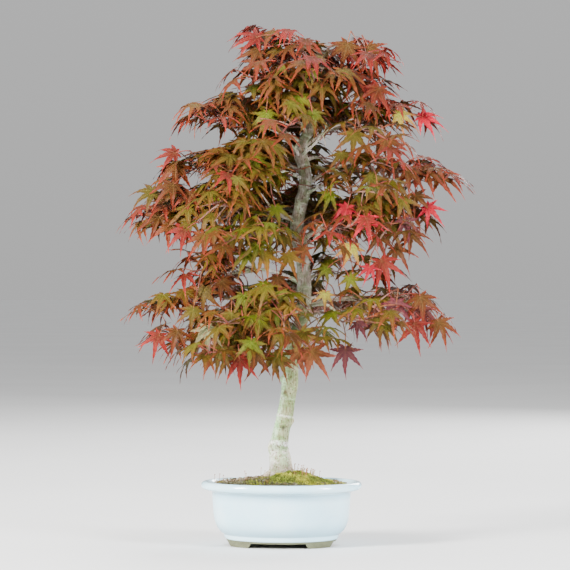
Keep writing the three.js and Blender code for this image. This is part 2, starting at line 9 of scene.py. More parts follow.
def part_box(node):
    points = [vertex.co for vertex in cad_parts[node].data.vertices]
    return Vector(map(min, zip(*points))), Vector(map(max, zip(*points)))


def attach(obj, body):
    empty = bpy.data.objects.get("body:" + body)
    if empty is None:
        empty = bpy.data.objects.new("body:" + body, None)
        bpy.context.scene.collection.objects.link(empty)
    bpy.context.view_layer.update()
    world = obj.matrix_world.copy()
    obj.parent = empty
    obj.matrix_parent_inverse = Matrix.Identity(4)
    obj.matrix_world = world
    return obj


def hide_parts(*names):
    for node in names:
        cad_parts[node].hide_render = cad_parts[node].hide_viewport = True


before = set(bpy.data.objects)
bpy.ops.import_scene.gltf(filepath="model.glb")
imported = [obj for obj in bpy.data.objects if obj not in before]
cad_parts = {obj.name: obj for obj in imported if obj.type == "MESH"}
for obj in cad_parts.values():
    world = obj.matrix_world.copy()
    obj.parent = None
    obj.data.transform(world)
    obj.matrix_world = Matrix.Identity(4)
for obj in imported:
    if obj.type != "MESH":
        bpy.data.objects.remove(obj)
bpy.context.view_layer.update()

MM = 0.001
TREE_TURN = math.radians(5)
# Where the camera stands in the tree's frame. A pixel of the photograph is a millimetre at the trunk.
EYE = np.array([3.6, -2400.0, 260.0])
PHOTO_SIDE = 570

pot_low, pot_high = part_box("pot")
MIDDLE = np.array([(pot_low.x + pot_high.x) / 2, (pot_low.y + pot_high.y) / 2, 0])
TURN = np.array([
    [math.cos(TREE_TURN), -math.sin(TREE_TURN), 0],
    [math.sin(TREE_TURN), math.cos(TREE_TURN), 0],
    [0, 0, 1],
])


def from_tree(points):
    """Millimetres in the tree's frame to metres in the row's frame."""
    return np.asarray(points, float) @ TURN.T * MM + MIDDLE


def to_tree(points):
    """Metres in the row's frame to millimetres in the tree's frame."""
    return (np.asarray(points, float) - MIDDLE) @ TURN / MM


def from_pot(points):
    """Millimetres in the pot's frame to metres in the row's frame."""
    return np.asarray(points, float) * MM + MIDDLE


# Draws and smooth noise

def draws(seed):
    return np.random.default_rng(seed)


def lattice(cells, seed):
    """A number from 0 to 1 for each cell of a lattice, the same one each time."""
    h = cells[..., 0] * 374761393 + cells[..., 1] * 668265263 + cells[..., 2] * 2147483647 + seed * 1274126177
    h = (h ^ (h >> 13)) * 1274126177
    return ((h ^ (h >> 16)) & 0xFFFF) / 65535.0


def noise(points, scale, seed=0, octaves=3):
    """Value noise between -1 and 1 at points, with features about scale across."""
    points = np.asarray(points, float)
    total = 0
    weights = 0.5 ** np.arange(octaves)
    for octave, weight in enumerate(weights):
        at = points / scale * 2**octave + 17.3 * octave
        cell = np.floor(at).astype(np.int64)
        part = at - cell
        part = part * part * (3 - 2 * part)
        value = 0
        for corner in np.ndindex(2, 2, 2):
            value = value + np.where(corner, part, 1 - part).prod(-1) * lattice(cell + corner, seed + octave)
        total = total + weight * (2 * value - 1)
    return total / weights.sum()


def smooth(low, high, value):
    t = np.clip((np.asarray(value, float) - low) / (high - low), 0, 1)
    return t * t * (3 - 2 * t)


def mixed(a, b, share):
    share = np.asarray(share, float)[..., None]
    return np.asarray(a, float) * (1 - share) + np.asarray(b, float) * share


def linear(red, green, blue):
    """A screen colour, 0 to 255, as linear light."""
    c = np.array([red, green, blue], float) / 255
    return np.where(c <= 0.04045, c / 12.92, ((c + 0.055) / 1.055) ** 2.4)


# Lines, rings and faces

def turns(sides):
    """The headings of a ring's corners."""
    return np.linspace(0, 2 * np.pi, sides, endpoint=False)


def bands(rows, sides, first=0, flip=False):
    """The faces between rings of points that follow one another, from the point first on."""
    faces = []
    for a in range(first, first + (rows - 1) * sides, sides):
        b = a + sides
        for j in range(sides):
            k = (j + 1) % sides
            faces.append((a + j, a + k, b + k, b + j) if flip else (a + j, b + j, b + k, a + k))
    return faces


def fan(point, first, sides, flip=False):
    """The faces between a point and a ring."""
    pairs = [(first + j, first + (j + 1) % sides) for j in range(sides)]
    return [(point, k, j) if flip else (point, j, k) for j, k in pairs]


def capped(rows, sides, flip=False):
    """The faces of a row of rings that closes in a point at each end. The two points come after the rings."""
    last = (rows - 1) * sides
    ends = last + sides
    return bands(rows, sides, 0, flip) + fan(ends, 0, sides, flip) + fan(ends + 1, last, sides, not flip)


def disc_faces(rings, sides):
    """The faces of a disc: point 0 in its middle and rings round it."""
    return fan(0, 1, sides) + bands(rings, sides, 1)


def closed_disc(rings, sides):
    """The faces of a disc whose outer rings go down to a last point under it."""
    under = 1 + rings * sides
    return disc_faces(rings, sides) + fan(under, under - sides, sides, True)


def frames_along(line):
    """Unit tangents and two unit sides at each point of a line, without twist."""
    line = np.asarray(line, float)
    tangent = np.gradient(line, axis=0)
    tangent /= np.linalg.norm(tangent, axis=1)[:, None]
    side = np.zeros_like(line)
    first = np.cross(tangent[0], [0, 0, 1.0])
    if np.linalg.norm(first) < 1e-3:
        first = np.array([1.0, 0, 0])
    side[0] = first / np.linalg.norm(first)
    for i in range(1, len(line)):
        v = side[i - 1] - tangent[i] * np.dot(side[i - 1], tangent[i])
        side[i] = v / np.linalg.norm(v)
    return tangent, side, np.cross(tangent, side)


def tube(line, radii, sides):
    """Points and faces of a round tube with its ends closed to a point."""
    line = np.asarray(line, float)
    _, side, up = frames_along(line)
    turn = turns(sides)
    ring = np.cos(turn)[None, :, None] * side[:, None] + np.sin(turn)[None, :, None] * up[:, None]
    points = line[:, None] + ring * np.asarray(radii, float)[:, None, None]
    return np.vstack([points.reshape(-1, 3), line[0], line[-1]]), capped(len(line), sides)


def tube_shares(values, sides, ends):
    """A value for each point of a tube, from one for each ring and two for the ends."""
    return np.append(np.repeat(values, sides), ends)


def spline(points, count):
    """A smooth line of count points through the given points."""
    points = np.asarray(points, float)
    padded = np.vstack([2 * points[0] - points[1], points, 2 * points[-1] - points[-2]])
    at = np.linspace(0, len(points) - 1, count)
    i = np.minimum(at.astype(int), len(points) - 2)
    t = (at - i)[:, None]
    a, b, c, d = (padded[i + k] for k in range(4))
    return 0.5 * (2 * b + (c - a) * t + (2 * a - 5 * b + 4 * c - d) * t**2 + (3 * b - a - 3 * c + d) * t**3)


# Pieces

def in_scene(name, data):
    thing = bpy.data.objects.new(name, data)
    bpy.context.scene.collection.objects.link(thing)
    return thing


def mesh_of(name, points, faces, *materials):
    mesh = bpy.data.meshes.new(name)
    mesh.from_pydata(np.asarray(points, float).tolist(), [], faces)
    for material in materials:
        mesh.materials.append(material)
    return mesh


def belongs(piece, nodes):
    """The piece moves with the whole and may stand for CAD nodes, which are hidden."""
    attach(piece, "root")
    if nodes:
        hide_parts(*nodes)


class Skin:
    """Points and faces of one piece, gathered from parts, with a colour and a place for each point."""

    def __init__(self, *parts):
        self.points, self.faces, self.tints, self.places = [], [], [], []
        self.count = 0
        for part in parts:
            part(self)

    def add(self, points, faces, tint, place=(0, 0, 0)):
        self.points.append(points)
        self.faces.extend(tuple(c + self.count for c in face) for face in faces)
        self.tints.append(np.broadcast_to(tint, points.shape))
        self.places.append(np.broadcast_to(place, points.shape))
        self.count += len(points)

    def rod(self, from_frame, line, radii, sides, tint, place=(0, 0, 0)):
        """Adds a tube of one colour, or of one for each point of its line."""
        points, faces = tube(line, radii, sides)
        tint = np.asarray(tint, float)
        if tint.ndim > 1:
            tint = np.vstack([np.repeat(tint, sides, 0), tint[0], tint[-1]])
        self.add(from_frame(points), faces, tint, place)

    def piece(self, name, material, slot, *nodes):
        mesh = mesh_of(name, np.concatenate(self.points), self.faces, material)
        colours = np.ones((self.count, 4))
        colours[:, :3] = np.concatenate(self.tints)
        tint = mesh.attributes.new("tint", "FLOAT_COLOR", "POINT")
        tint.data.foreach_set("color", colours.ravel())
        place = mesh.attributes.new("place", "FLOAT_VECTOR", "POINT")
        place.data.foreach_set("vector", np.concatenate(self.places).ravel())
        mesh.shade_smooth()
        belongs(in_scene(name, mesh), nodes)


# Materials

class Nodes:
    """A short way to write a node tree. A value is a socket, a number or a colour."""

    def __init__(self, tree):
        self.tree = tree

    def put(self, value, socket):
        if isinstance(value, bpy.types.NodeSocket):
            self.tree.links.new(value, socket)
        elif isinstance(value, tuple):
            socket.default_value = value + (1.0,) if len(value) < len(socket.default_value) else value
        else:
            socket.default_value = value

    def add(self, kind, values=(), **settings):
        node = self.tree.nodes.new("ShaderNode" + kind)
        for key, value in settings.items():
            setattr(node, key, value)
        for key, value in dict(values).items():
            self.put(value, node.inputs[key])
        return node.outputs

    def attribute(self, name, out):
        return self.add("Attribute", attribute_name=name)[out]

    def scaled(self, vector, scale):
        return self.add("Mapping", {"Vector": vector, "Scale": scale})["Vector"]

    def noise(self, vector, scale, detail=3, rough=0.5):
        values = {"Vector": vector, "Scale": scale, "Detail": detail, "Roughness": rough}
        return self.add("TexNoise", values)["Fac"]

    def cells(self, vector, scale):
        return self.add("TexVoronoi", {"Vector": vector, "Scale": scale})["Distance"]

    def math(self, kind, a, b=0.0, clamp=False):
        return self.add("Math", {0: a, 1: b}, operation=kind, use_clamp=clamp)[0]

    def times(self, a, b):
        return self.math("MULTIPLY", a, b)

    def total(self, *parts):
        """The sum of values, each times its weight."""
        result = 0.0
        for value, weight in parts:
            result = self.add("Math", {0: value, 1: weight, 2: result}, operation="MULTIPLY_ADD")[0]
        return result

    def span(self, value, low, high, to_low=0.0, to_high=1.0):
        values = {"Value": value, "From Min": low, "From Max": high, "To Min": to_low, "To Max": to_high}
        return self.add("MapRange", values, interpolation_type="SMOOTHSTEP")["Result"]

    def mix(self, share, a, b, kind="MIX"):
        return self.add("Mix", {0: share, 6: a, 7: b}, data_type="RGBA", blend_type=kind)[2]

    def over(self, colour, share, most, other):
        """One colour over another, by a share of the most that may show."""
        return self.mix(self.times(share, most), colour, other)

    def shade(self, tint, red, green, blue):
        return self.mix(1.0, tint, (red, green, blue), "MULTIPLY")

    def split(self, vector):
        return self.add("SeparateXYZ", {0: vector})

    def bump(self, height, strength, distance):
        return self.add("Bump", {"Height": height, "Strength": strength, "Distance": distance})["Normal"]


def fine_material(name, build, strength, distance, constants=(), **settings):
    """A material whose colour, roughness and height come from build, with its bump's strength and depth."""
    material = bpy.data.materials.new(name)
    material.use_nodes = True
    n = Nodes(material.node_tree)
    shader = n.tree.nodes["Principled BSDF"]
    colour, rough, height = build(n, n.add("TexCoord")["Object"], **settings)
    values = {"Base Color": colour, "Roughness": rough, "Normal": n.bump(height, strength, distance)}
    for key, value in {**values, **dict(constants)}.items():
        n.put(value, shader.inputs[key])
    return material


def specular(level):
    return {"Specular IOR Level": level}


def leaf_nodes(n, at, shine):
    """Mottled blades. The place of a point is its share along its lobe, from the rib across, and a draw."""
    tint = n.attribute("tint", "Color")
    along, across, _ = n.split(n.attribute("place", "Vector"))
    away = n.math("ABSOLUTE", across)
    rib = n.span(away, 0.16, 0.03)
    # Side veins run from the rib towards the tip and the margin.
    vein = n.span(n.math("SINE", n.math("SUBTRACT", n.times(along, 62.0), n.times(away, 7.0))), 0.72, 1.0)
    mottle = n.noise(at, 420.0, 4, 0.6)
    fine = n.noise(at, 2600.0, 2)
    colour = n.mix(n.span(mottle, 0.34, 0.7), tint, n.shade(tint, 0.52, 0.60, 0.66))
    colour = n.over(colour, n.span(fine, 0.45, 0.75), 0.35, n.shade(tint, 1.45, 1.35, 1.1))
    pale = n.mix(0.25, n.shade(tint, 1.4, 1.5, 1.5), (0.26, 0.16, 0.04))
    colour = n.over(n.over(colour, rib, 0.55, pale), vein, 0.2, pale)
    rough = n.span(mottle, 0.3, 0.75, shine, shine + 0.16)
    return colour, rough, n.total((vein, -0.6), (mottle, 0.5), (rib, -1.0))


def bark_nodes(n, at):
    tint = n.attribute("tint", "Color")
    streak = n.noise(n.scaled(at, (1.0, 1.0, 0.14)), 900.0, 4, 0.6)
    band = n.noise(n.scaled(at, (0.35, 0.35, 1.0)), 620.0, 4, 0.65)
    blotch = n.noise(at, 110.0, 4, 0.6)
    # Brown specks stand in upright rows.
    lane = n.noise(n.scaled(at, (1.0, 1.0, 0.08)), 330.0, 2)
    speck = n.cells(n.scaled(at, (1.0, 1.0, 0.6)), 500.0)
    rows = n.times(n.span(speck, 0.38, 0.18), n.span(lane, 0.47, 0.54))
    colour = n.over(tint, n.span(blotch, 0.42, 0.60), 1.0, n.shade(tint, 0.56, 0.74, 0.48))
    colour = n.over(colour, n.span(streak, 0.47, 0.62), 0.8, n.shade(tint, 0.46, 0.34, 0.27))
    colour = n.over(colour, n.span(band, 0.52, 0.70), 0.6, n.shade(tint, 1.55, 1.45, 1.45))
    colour = n.over(colour, rows, 0.9, n.shade(tint, 0.26, 0.15, 0.09))
    return colour, n.span(streak, 0.3, 0.8, 0.60, 0.85), n.total((streak, 0.7), (band, 0.6), (rows, -0.4))


def glaze_nodes(n, at):
    z = n.split(at)[2]
    cloud = n.noise(at, 26.0)
    speck = n.noise(at, 1500.0, 2)
    pinhole = n.cells(at, 210.0)
    # The glaze is darker and bluer in the cove under the rim and above the belt. Under the rim this is thick pooled
    # glaze together with a painted shadow of the rim; above the belt it is painted shade on the lower belly.
    cove = n.times(n.span(z, 0.0555, 0.0525), n.span(z, 0.044, 0.053))
    # low is painted shade: the lower belly made darker and bluer.
    low = n.times(n.span(z, 0.027, 0.013), n.span(z, 0.0105, 0.0125))
    colour = n.mix(n.span(cloud, 0.35, 0.68), (0.60, 0.85, 0.95), (0.48, 0.78, 0.92))
    # Both bands darken the glaze: pooled glaze and painted shadow under the rim, painted shade low down.
    colour = n.over(colour, n.math("ADD", cove, low, True), 0.75, (0.26, 0.46, 0.58))
    colour = n.over(colour, n.span(speck, 0.66, 0.74), 0.25, (0.42, 0.44, 0.40))
    colour = n.over(colour, n.span(pinhole, 0.045, 0.02), 0.6, (0.30, 0.27, 0.22))
    height = n.total((cloud, 1.0), (n.noise(at, 130.0, 2), 0.25), (n.span(pinhole, 0.05, 0.015), -0.08))
    return colour, n.span(cloud, 0.3, 0.7, 0.10, 0.20), height


def bisque_nodes(n, at):
    grain = n.noise(at, 1400.0, 4, 0.6)
    cloud = n.noise(at, 70.0, 4, 0.6)
    grit = n.cells(at, 900.0)
    colour = n.mix(n.span(cloud, 0.3, 0.7), (0.082, 0.082, 0.044), (0.135, 0.145, 0.080))
    colour = n.over(colour, n.span(grain, 0.5, 0.75), 0.5, (0.065, 0.050, 0.025))
    colour = n.over(colour, n.span(grit, 0.14, 0.05), 0.4, (0.04, 0.03, 0.015))
    return colour, n.span(grain, 0.3, 0.7, 0.75, 0.95), n.total((grain, 1.0), (cloud, 0.5))


def earth_nodes(n, at, scale):
    tint = n.attribute("tint", "Color")
    grain = n.noise(at, scale, 5, 0.65)
    clump = n.noise(at, 170.0, 4, 0.6)
    crumb = n.cells(at, 0.8 * scale)
    colour = n.mix(n.span(grain, 0.35, 0.68), n.shade(tint, 0.50, 0.44, 0.38), tint)
    colour = n.over(colour, n.span(clump, 0.50, 0.72), 0.55, (0.030, 0.017, 0.008))
    colour = n.over(colour, n.span(crumb, 0.22, 0.06), 0.5, n.shade(tint, 1.7, 1.6, 1.4))
    return colour, n.span(grain, 0.3, 0.7, 0.82, 0.98), n.total((grain, 1.0), (clump, 1.0))


def moss_nodes(n, at):
    tint = n.attribute("tint", "Color")
    grain = n.noise(at, 1900.0, 3, 0.6)
    patch = n.noise(at, 150.0, 4, 0.6)
    colour = n.mix(n.span(patch, 0.38, 0.66), tint, n.shade(tint, 0.66, 0.74, 0.55))
    colour = n.over(colour, n.span(grain, 0.5, 0.75), 0.55, n.shade(tint, 0.40, 0.42, 0.28))
    return colour, n.span(grain, 0.3, 0.7, 0.7, 0.95), grain


def net_nodes(n, at):
    grain = n.noise(at, 1600.0, 3, 0.6)
    worn = n.noise(at, 140.0, 4, 0.6)
    colour = n.mix(n.span(worn, 0.4, 0.7), (0.012, 0.022, 0.015), (0.035, 0.05, 0.035))
    colour = n.over(colour, n.span(grain, 0.6, 0.75), 0.5, (0.10, 0.09, 0.07))
    return colour, n.span(worn, 0.3, 0.7, 0.42, 0.62), grain


def wire_nodes(n, at):
    scratch = n.noise(n.scaled(at, (1.0, 1.0, 0.2)), 2400.0, 3, 0.6)
    dull = n.noise(at, 260.0, 4, 0.6)
    colour = n.mix(n.span(dull, 0.4, 0.7), (0.60, 0.60, 0.61), (0.42, 0.42, 0.43))
    return colour, n.span(scratch, 0.3, 0.7, 0.32, 0.52), scratch


def floor_nodes(n, at):
    grain = n.noise(at, 240.0, 2)
    colour = n.mix(n.span(n.noise(at, 2.2), 0.3, 0.7), (0.70, 0.70, 0.695), (0.73, 0.73, 0.725))
    return colour, n.span(grain, 0.3, 0.7, 0.72, 0.8), grain


# Wood: the same lines as the solids, in the tree's frame

# The trunk's axis and radius: x, y, z, radius.
TRUNK = np.array([
    [0, 0, 46, 9], [-0.2, 0, 60, 17], [-0.4, 0, 67, 14.5], [-0.6, 0, 74, 12], [-1.4, 0.2, 82, 10.5],
    [-2.8, 0.6, 97, 9.5], [-2, 1, 103, 8.8], [0.6, 1.6, 117, 8.3], [3.2, 2.2, 126, 8.3], [6.6, 3.2, 147, 7.6],
    [8.6, 4, 162, 8.1], [9.6, 4.5, 176, 7.3], [10.4, 4.8, 192, 7.2], [13.8, 4.6, 206, 7.4], [19.5, 4, 222, 6.8],
    [22.6, 3.2, 238, 6.7], [22.8, 2.2, 258, 7.2], [21.6, 0.6, 282, 6.6], [17.2, -1, 306, 7], [15.6, -1.6, 320, 6.6],
    [19.5, -1, 340, 6.3], [24, 0.4, 360, 6.6], [22.6, 1.6, 378, 6.2], [19, 2.6, 392, 6.8], [22.5, 2.4, 404, 5.6],
    [28.5, 1, 418, 4.8], [30, -1, 436, 3.8], [27, -3, 456, 2.8], [25, -4, 474, 1.8],
])

# Height on the trunk, the tip's x, y and z, arch, radius at the trunk, side twigs.
BRANCHES = [
    (199, -46, -46, 188, 8, 2.1, 1), (206, -66, 34, 204, 8, 2, 0), (214, 24, -38, 200, 6, 1.6, 0),
    (259, -85, -8, 246, 22, 2.1, 1), (236, 96, -8, 240, 8, 2, 1), (232, -24, -46, 218, 8, 1.8, 1),
    (226, 60, -46, 224, 8, 1.7, 0), (244, -2, -42, 238, 6, 1.6, 0), (240, 60, 62, 236, 10, 1.9, 1),
    (252, -30, 72, 246, 10, 2, 1), (262, 58, 8, 270, 6, 1.6, 0), (324, -88, -12, 338, 8, 2.2, 2),
    (302, 90, -4, 332, 8, 2.2, 1), (296, -34, -58, 306, 10, 2, 1), (298, 62, -58, 316, 8, 1.9, 1),
    (312, 56, 74, 316, 10, 2, 1), (330, -38, 80, 324, 10, 2, 1), (372, -56, -12, 386, 8, 2.1, 1),
    (360, 116, -8, 376, 14, 2.1, 1), (366, -20, -54, 362, 8, 1.8, 0), (350, 66, -50, 350, 8, 1.8, 0),
    (384, 60, 60, 378, 8, 1.9, 1), (376, -24, 66, 376, 8, 1.9, 0), (400, -40, -6, 424, 6, 1.9, 1),
    (397, 84, -6, 424, 6, 1.9, 1), (410, 12, -42, 418, 6, 1.7, 0), (418, 46, 50, 420, 6, 1.7, 0),
    (424, -16, 44, 424, 6, 1.7, 0), (440, 64, -6, 466, 5, 1.6, 0), (436, 8, -20, 460, 4, 1.5, 0),
    (446, 32, -36, 462, 4, 1.4, 0), (456, 46, 12, 486, 3, 1.4, 0), (460, -2, 10, 486, 3, 1.4, 0),
]
# Branches whose bark has bleached: they show bare between the tiers.
BLEACHED = (3, 19, 20)
TWIG_RADIUS = 1.265

# Marks on the trunk: height, heading round it, size up and across, how far it stands out, and colour.
MARKS = [
    (199, 200, 4.0, 0.55, 2.4, (92, 78, 62)), (165.5, 178, 2.7, 0.5, 3.2, (205, 212, 190)),
    (125.5, 0, 2.4, 0.45, 1.5, (200, 190, 160)), (117.4, -82, 2.1, 0.22, 0.5, (34, 14, 9)),
    (97.3, 186, 3.0, 0.5, 1.5, (214, 206, 190)), (86, 8, 9.0, 0.45, 1.4, (206, 196, 168)),
    (228, -30, 3.0, 0.4, 0.9, (180, 174, 150)), (268, -150, 3.2, 0.4, 1.0, (176, 170, 150)),
    (300, 10, 3.4, 0.45, 1.1, (176, 166, 146)), (345, 170, 3.2, 0.45, 1.0, (172, 162, 144)),
    (140, 60, 2.6, 0.4, 0.9, (186, 178, 150)), (152, -120, 2.2, 0.25, 0.5, (104, 78, 54)),
    (108, 100, 3.4, 0.3, 0.8, (128, 82, 60)),
]
# Old bud scars that ring the trunk: height, depth up, how far they stand out.
RINGS = [
    (128.4, 0.8, 0.45), (101.8, 2.4, 0.6), (97.0, 0.7, -0.3), (94.6, 0.7, 0.3), (92.4, 0.6, -0.25),
    (89.5, 0.8, 0.2), (146, 0.9, 0.25), (176, 0.8, 0.3), (190, 0.7, 0.3), (221, 0.9, 0.35), (239, 0.7, 0.3),
    (258, 0.9, 0.35), (283, 0.8, 0.35), (303, 0.8, 0.3), (321, 0.9, 0.3), (341, 0.7, 0.35), (358, 0.8, 0.3),
    (379, 0.7, 0.3), (395, 0.8, 0.3), (409, 0.6, 0.3), (424, 0.6, 0.25), (441, 0.5, 0.25), (458, 0.5, 0.2),
]


def draw(low, high, a, b, c):
    """The solids' own draw between two numbers, from three counts."""
    s = math.sin(a * 127.1 + b * 311.7 + c * 74.7) * 43758.5453
    return low + (high - low) * (s - math.floor(s))


def trunk_at(z):
    return np.array([np.interp(z, TRUNK[:, 2], TRUNK[:, k]) for k in (0, 1)] + [z])


def limb(start, end, arch, sway, steps):
    run = end - start
    aside = np.array([-run[1], run[0], 0])
    aside /= np.linalg.norm(aside)
    s = np.linspace(0, 1, steps + 1)[:, None]
    return start + run * s + aside * sway * np.sin(2 * np.pi * s) + np.array([0, 0, 4 * arch]) * s * (1 - s)


def along(line, share):
    """A line's point at a share of it, and its heading there in degrees."""
    at = min(share * (len(line) - 1), len(line) - 1.001)
    i = int(at)
    run = line[i + 1] - line[i]
    return line[i] + run * (at - i), math.degrees(math.atan2(run[1], run[0]))


def skeleton():
    """Every branch and side twig. A twig starts from its branch's coarse line, as in the solids."""
    limbs = []
    for b, (height, x, y, z, arch, radius, twigs) in enumerate(BRANCHES):
        shape = trunk_at(height), np.array([x, y, z], float), arch, draw(-5, 5, b, 1, 0)
        limbs.append({"line": limb(*shape, 28), "radius": radius, "branch": b, "twig": False})
        for t in range(twigs):
            share = 0.5 if twigs == 1 else 0.36 + 0.42 * t / (twigs - 1)
            side = 1 if (t + b) % 2 else -1
            start, heading = along(limb(*shape, 4), share)
            away = math.radians(heading + side * (46 + draw(-8, 8, b, t, 2)))
            length = 40 * draw(0.85, 1.15, b, t, 3) * (1.15 - 0.3 * share)
            tip = start + np.array([math.cos(away) * length, math.sin(away) * length, -3])
            line = limb(start, tip, 3, draw(-2, 2, b, t, 4), 14)
            limbs.append({"line": line, "radius": TWIG_RADIUS, "branch": b, "twig": True})
    return limbs


LIMBS = skeleton()


def trunk_tints(where, z, turn):
    """Green towards the right and whitish at the left edge, pinkish at the foot, grey and then brown high up. The
    whiter left and the darker right are painted light and painted shade, as if lit from the left.
    """
    def wavy(depth, scale, seed):
        return z + depth * noise(where, scale, seed)

    # left grows towards the trunk's left side. The layers that follow it paint light on the left and shade on the
    # right.
    left = smooth(0.15, 0.95, -np.cos(turn) + 0.3 * noise(where, 12, 5))
    grey = smooth(215, 262, wavy(12, 30, 2))
    foot = smooth(86, 78, wavy(5, 12, 8))
    scars = [np.exp(-(((z - height - 0.4) / (deep * 1.2)) ** 2)) for height, deep, proud in RINGS if proud > 0.2]
    # Pale green on the left and dark olive on the right: painted light and painted shade.
    tint = mixed([0.26, 0.28, 0.155], [0.48, 0.68, 0.46], left)
    tint = tint * (1 + 0.32 * smooth(148, 160, z) * smooth(212, 196, z))[..., None]
    # The grey, brown and foot layers also follow left, so they too carry painted light on the left and painted
    # shade on the right.
    for colour, share in (
        ([0.20, 0.32, 0.17], 0.6 * smooth(0.05, 0.45, noise(where * [1, 1, 0.6], 7, 15))),
        (mixed([0.29, 0.235, 0.20], [0.54, 0.52, 0.45], left), 0.9 * grey),
        (mixed([0.24, 0.195, 0.150], [0.46, 0.42, 0.34], left), 0.9 * smooth(285, 330, wavy(12, 30, 12))),
        ([0.15, 0.115, 0.08], 0.6 * smooth(400, 412, z)),
        ([0.52, 0.50, 0.44], 0.7 * grey * smooth(0.28, 0.5, noise(where * [1, 1, 0.7], 9, 16))),
        ([0.66, 0.64, 0.58], 0.75 * smooth(99, 92, wavy(5, 12, 8))),
        (mixed([0.25, 0.20, 0.155], [0.42, 0.39, 0.34], left), 0.85 * foot),
        ([0.12, 0.075, 0.03], 0.6 * smooth(75, 67, wavy(3, 6, 4))),
        ([0.62, 0.64, 0.56], np.max(scars, 0) * np.where(z < 140, 0.8, 0.4)),
        ([0.66, 0.66, 0.70], 0.8 * smooth(99.0, 100.2, z) * smooth(104.6, 103.2, z)),
        ([0.24, 0.31, 0.19], 0.8 * smooth(94.8, 95.8, z) * smooth(99.6, 98.4, z)),
        ([0.50, 0.33, 0.28], 0.5 * foot * smooth(0.1, 0.5, noise(where, 5, 17))),
    ):
        tint = mixed(tint, colour, share)
    return tint


def trunk_skin(skin):
    sides = 40
    heights = np.arange(TRUNK[0, 2], TRUNK[-1, 2] + 0.01, 1.15)
    rows = spline(TRUNK, 2400)
    rows = rows[np.argsort(rows[:, 2])]
    x, y, radii = (np.interp(heights, rows[:, 2], rows[:, k]) for k in (0, 1, 3))
    line = np.stack([x, y, heights], 1)
    # The rings' sides are turned to the compass, so that marks can be placed by heading.
    tangent = frames_along(line)[0]
    east = np.array([1.0, 0, 0]) - tangent * tangent[:, :1]
    east /= np.linalg.norm(east, axis=1)[:, None]
    degrees = np.linspace(0, 360, sides, endpoint=False)
    turn = np.radians(degrees)
    out = np.cos(turn)[:, None] * east[:, None] + np.sin(turn)[:, None] * np.cross(tangent, east)[:, None]
    z, radii = heights[:, None], radii[:, None]
    root = np.clip((88 - z) / 24, 0, 1) ** 1.3
    flare = 0.2 * np.cos(np.radians(5 * (degrees - 14))) + 0.07 * np.cos(np.radians(9 * degrees + 40))
    r = radii * (1 + root * flare)
    for height, deep, proud in RINGS:
        wave = 0.9 * np.sin(np.radians(degrees + 7 * height))
        r += proud * np.exp(-(((z - height + wave) / deep) ** 2))
    mark_share, mark_tint = np.zeros(r.shape), np.zeros(out.shape)
    for height, heading, size, across, proud, colour in MARKS:
        off = (degrees - heading + 180) % 360 - 180
        wide = 57.3 * across * (8.5 / radii) ** 0.5
        lump = np.exp(-(((z - height) / size) ** 2) - (off / wide) ** 2)
        r += proud * lump
        share = np.clip(lump * 1.3, 0, 1)
        mark_tint = np.where((share > mark_share)[..., None], linear(*colour), mark_tint)
        mark_share = np.maximum(mark_share, share)
    where = line[:, None] + out * radii[..., None]
    r += 0.32 * noise(where * [1, 1, 0.45], 5.0, 3) + 0.10 * noise(where * [1, 1, 0.3], 1.4, 9)
    points = line[:, None] + out * r[..., None]
    tints = mixed(trunk_tints(where, z, turn), mark_tint, mark_share * 0.85)
    last = (len(line) - 1) * sides
    faces = bands(len(line), sides, 0, True)
    faces += [tuple(range(sides - 1, -1, -1)), tuple(range(last, last + sides))]
    skin.add(from_tree(points.reshape(-1, 3)), faces, tints.reshape(-1, 3))


def limb_radii(row, s):
    """A limb's radii, and how near each is to a node, where a pair of buds sat and the wood is swollen."""
    radii = row["radius"] * (1 - (1 - (0.74 if row["twig"] else 0.45)) * s)
    if not row["twig"]:
        radii = radii * (1 + 0.55 * np.exp(-s / 0.05))
    length = np.linalg.norm(np.diff(row["line"], axis=0), axis=1).sum()
    nodes = np.cos(np.pi * s * length / 13.0 + row["branch"]) ** 24
    return radii * (1 + 0.22 * nodes), nodes


def limbs_skin(skin):
    for number, row in enumerate(LIMBS):
        twig = row["twig"]
        # A small zigzag from node to node.
        s = np.linspace(0, 1, len(row["line"]))
        wander = [noise(np.stack([s * 6, s * 0 + number, s * 0 + k * 9.0], 1), 1.0, 31 + k, 2) for k in range(3)]
        wander = np.stack(wander, 1) * (np.sin(np.pi * s) ** 0.5)[:, None] * (0.9 if twig else 1.5)
        line = spline(row["line"] + wander, 2 * len(s))
        sides = 6 if twig else 9
        s = np.linspace(0, 1, len(line))
        radii, nodes = limb_radii(row, s)
        points, faces = tube(line, radii, sides)
        share = tube_shares(s, sides, (0, 1))
        age = 0.45 + 0.55 * share if twig else smooth(0.25, 0.95, share + 0.2 * noise(points, 14, 6))
        tint = mixed([0.36, 0.31, 0.25], [0.12, 0.045, 0.035], age)
        tint = mixed(tint, [0.42, 0.38, 0.32], 0.5 * tube_shares(nodes, sides, (0, 0)))
        if row["branch"] in BLEACHED:
            tint = mixed(tint, [0.66, 0.64, 0.58], smooth(0.75, 0.45, share))
        skin.add(from_tree(points), faces, tint)


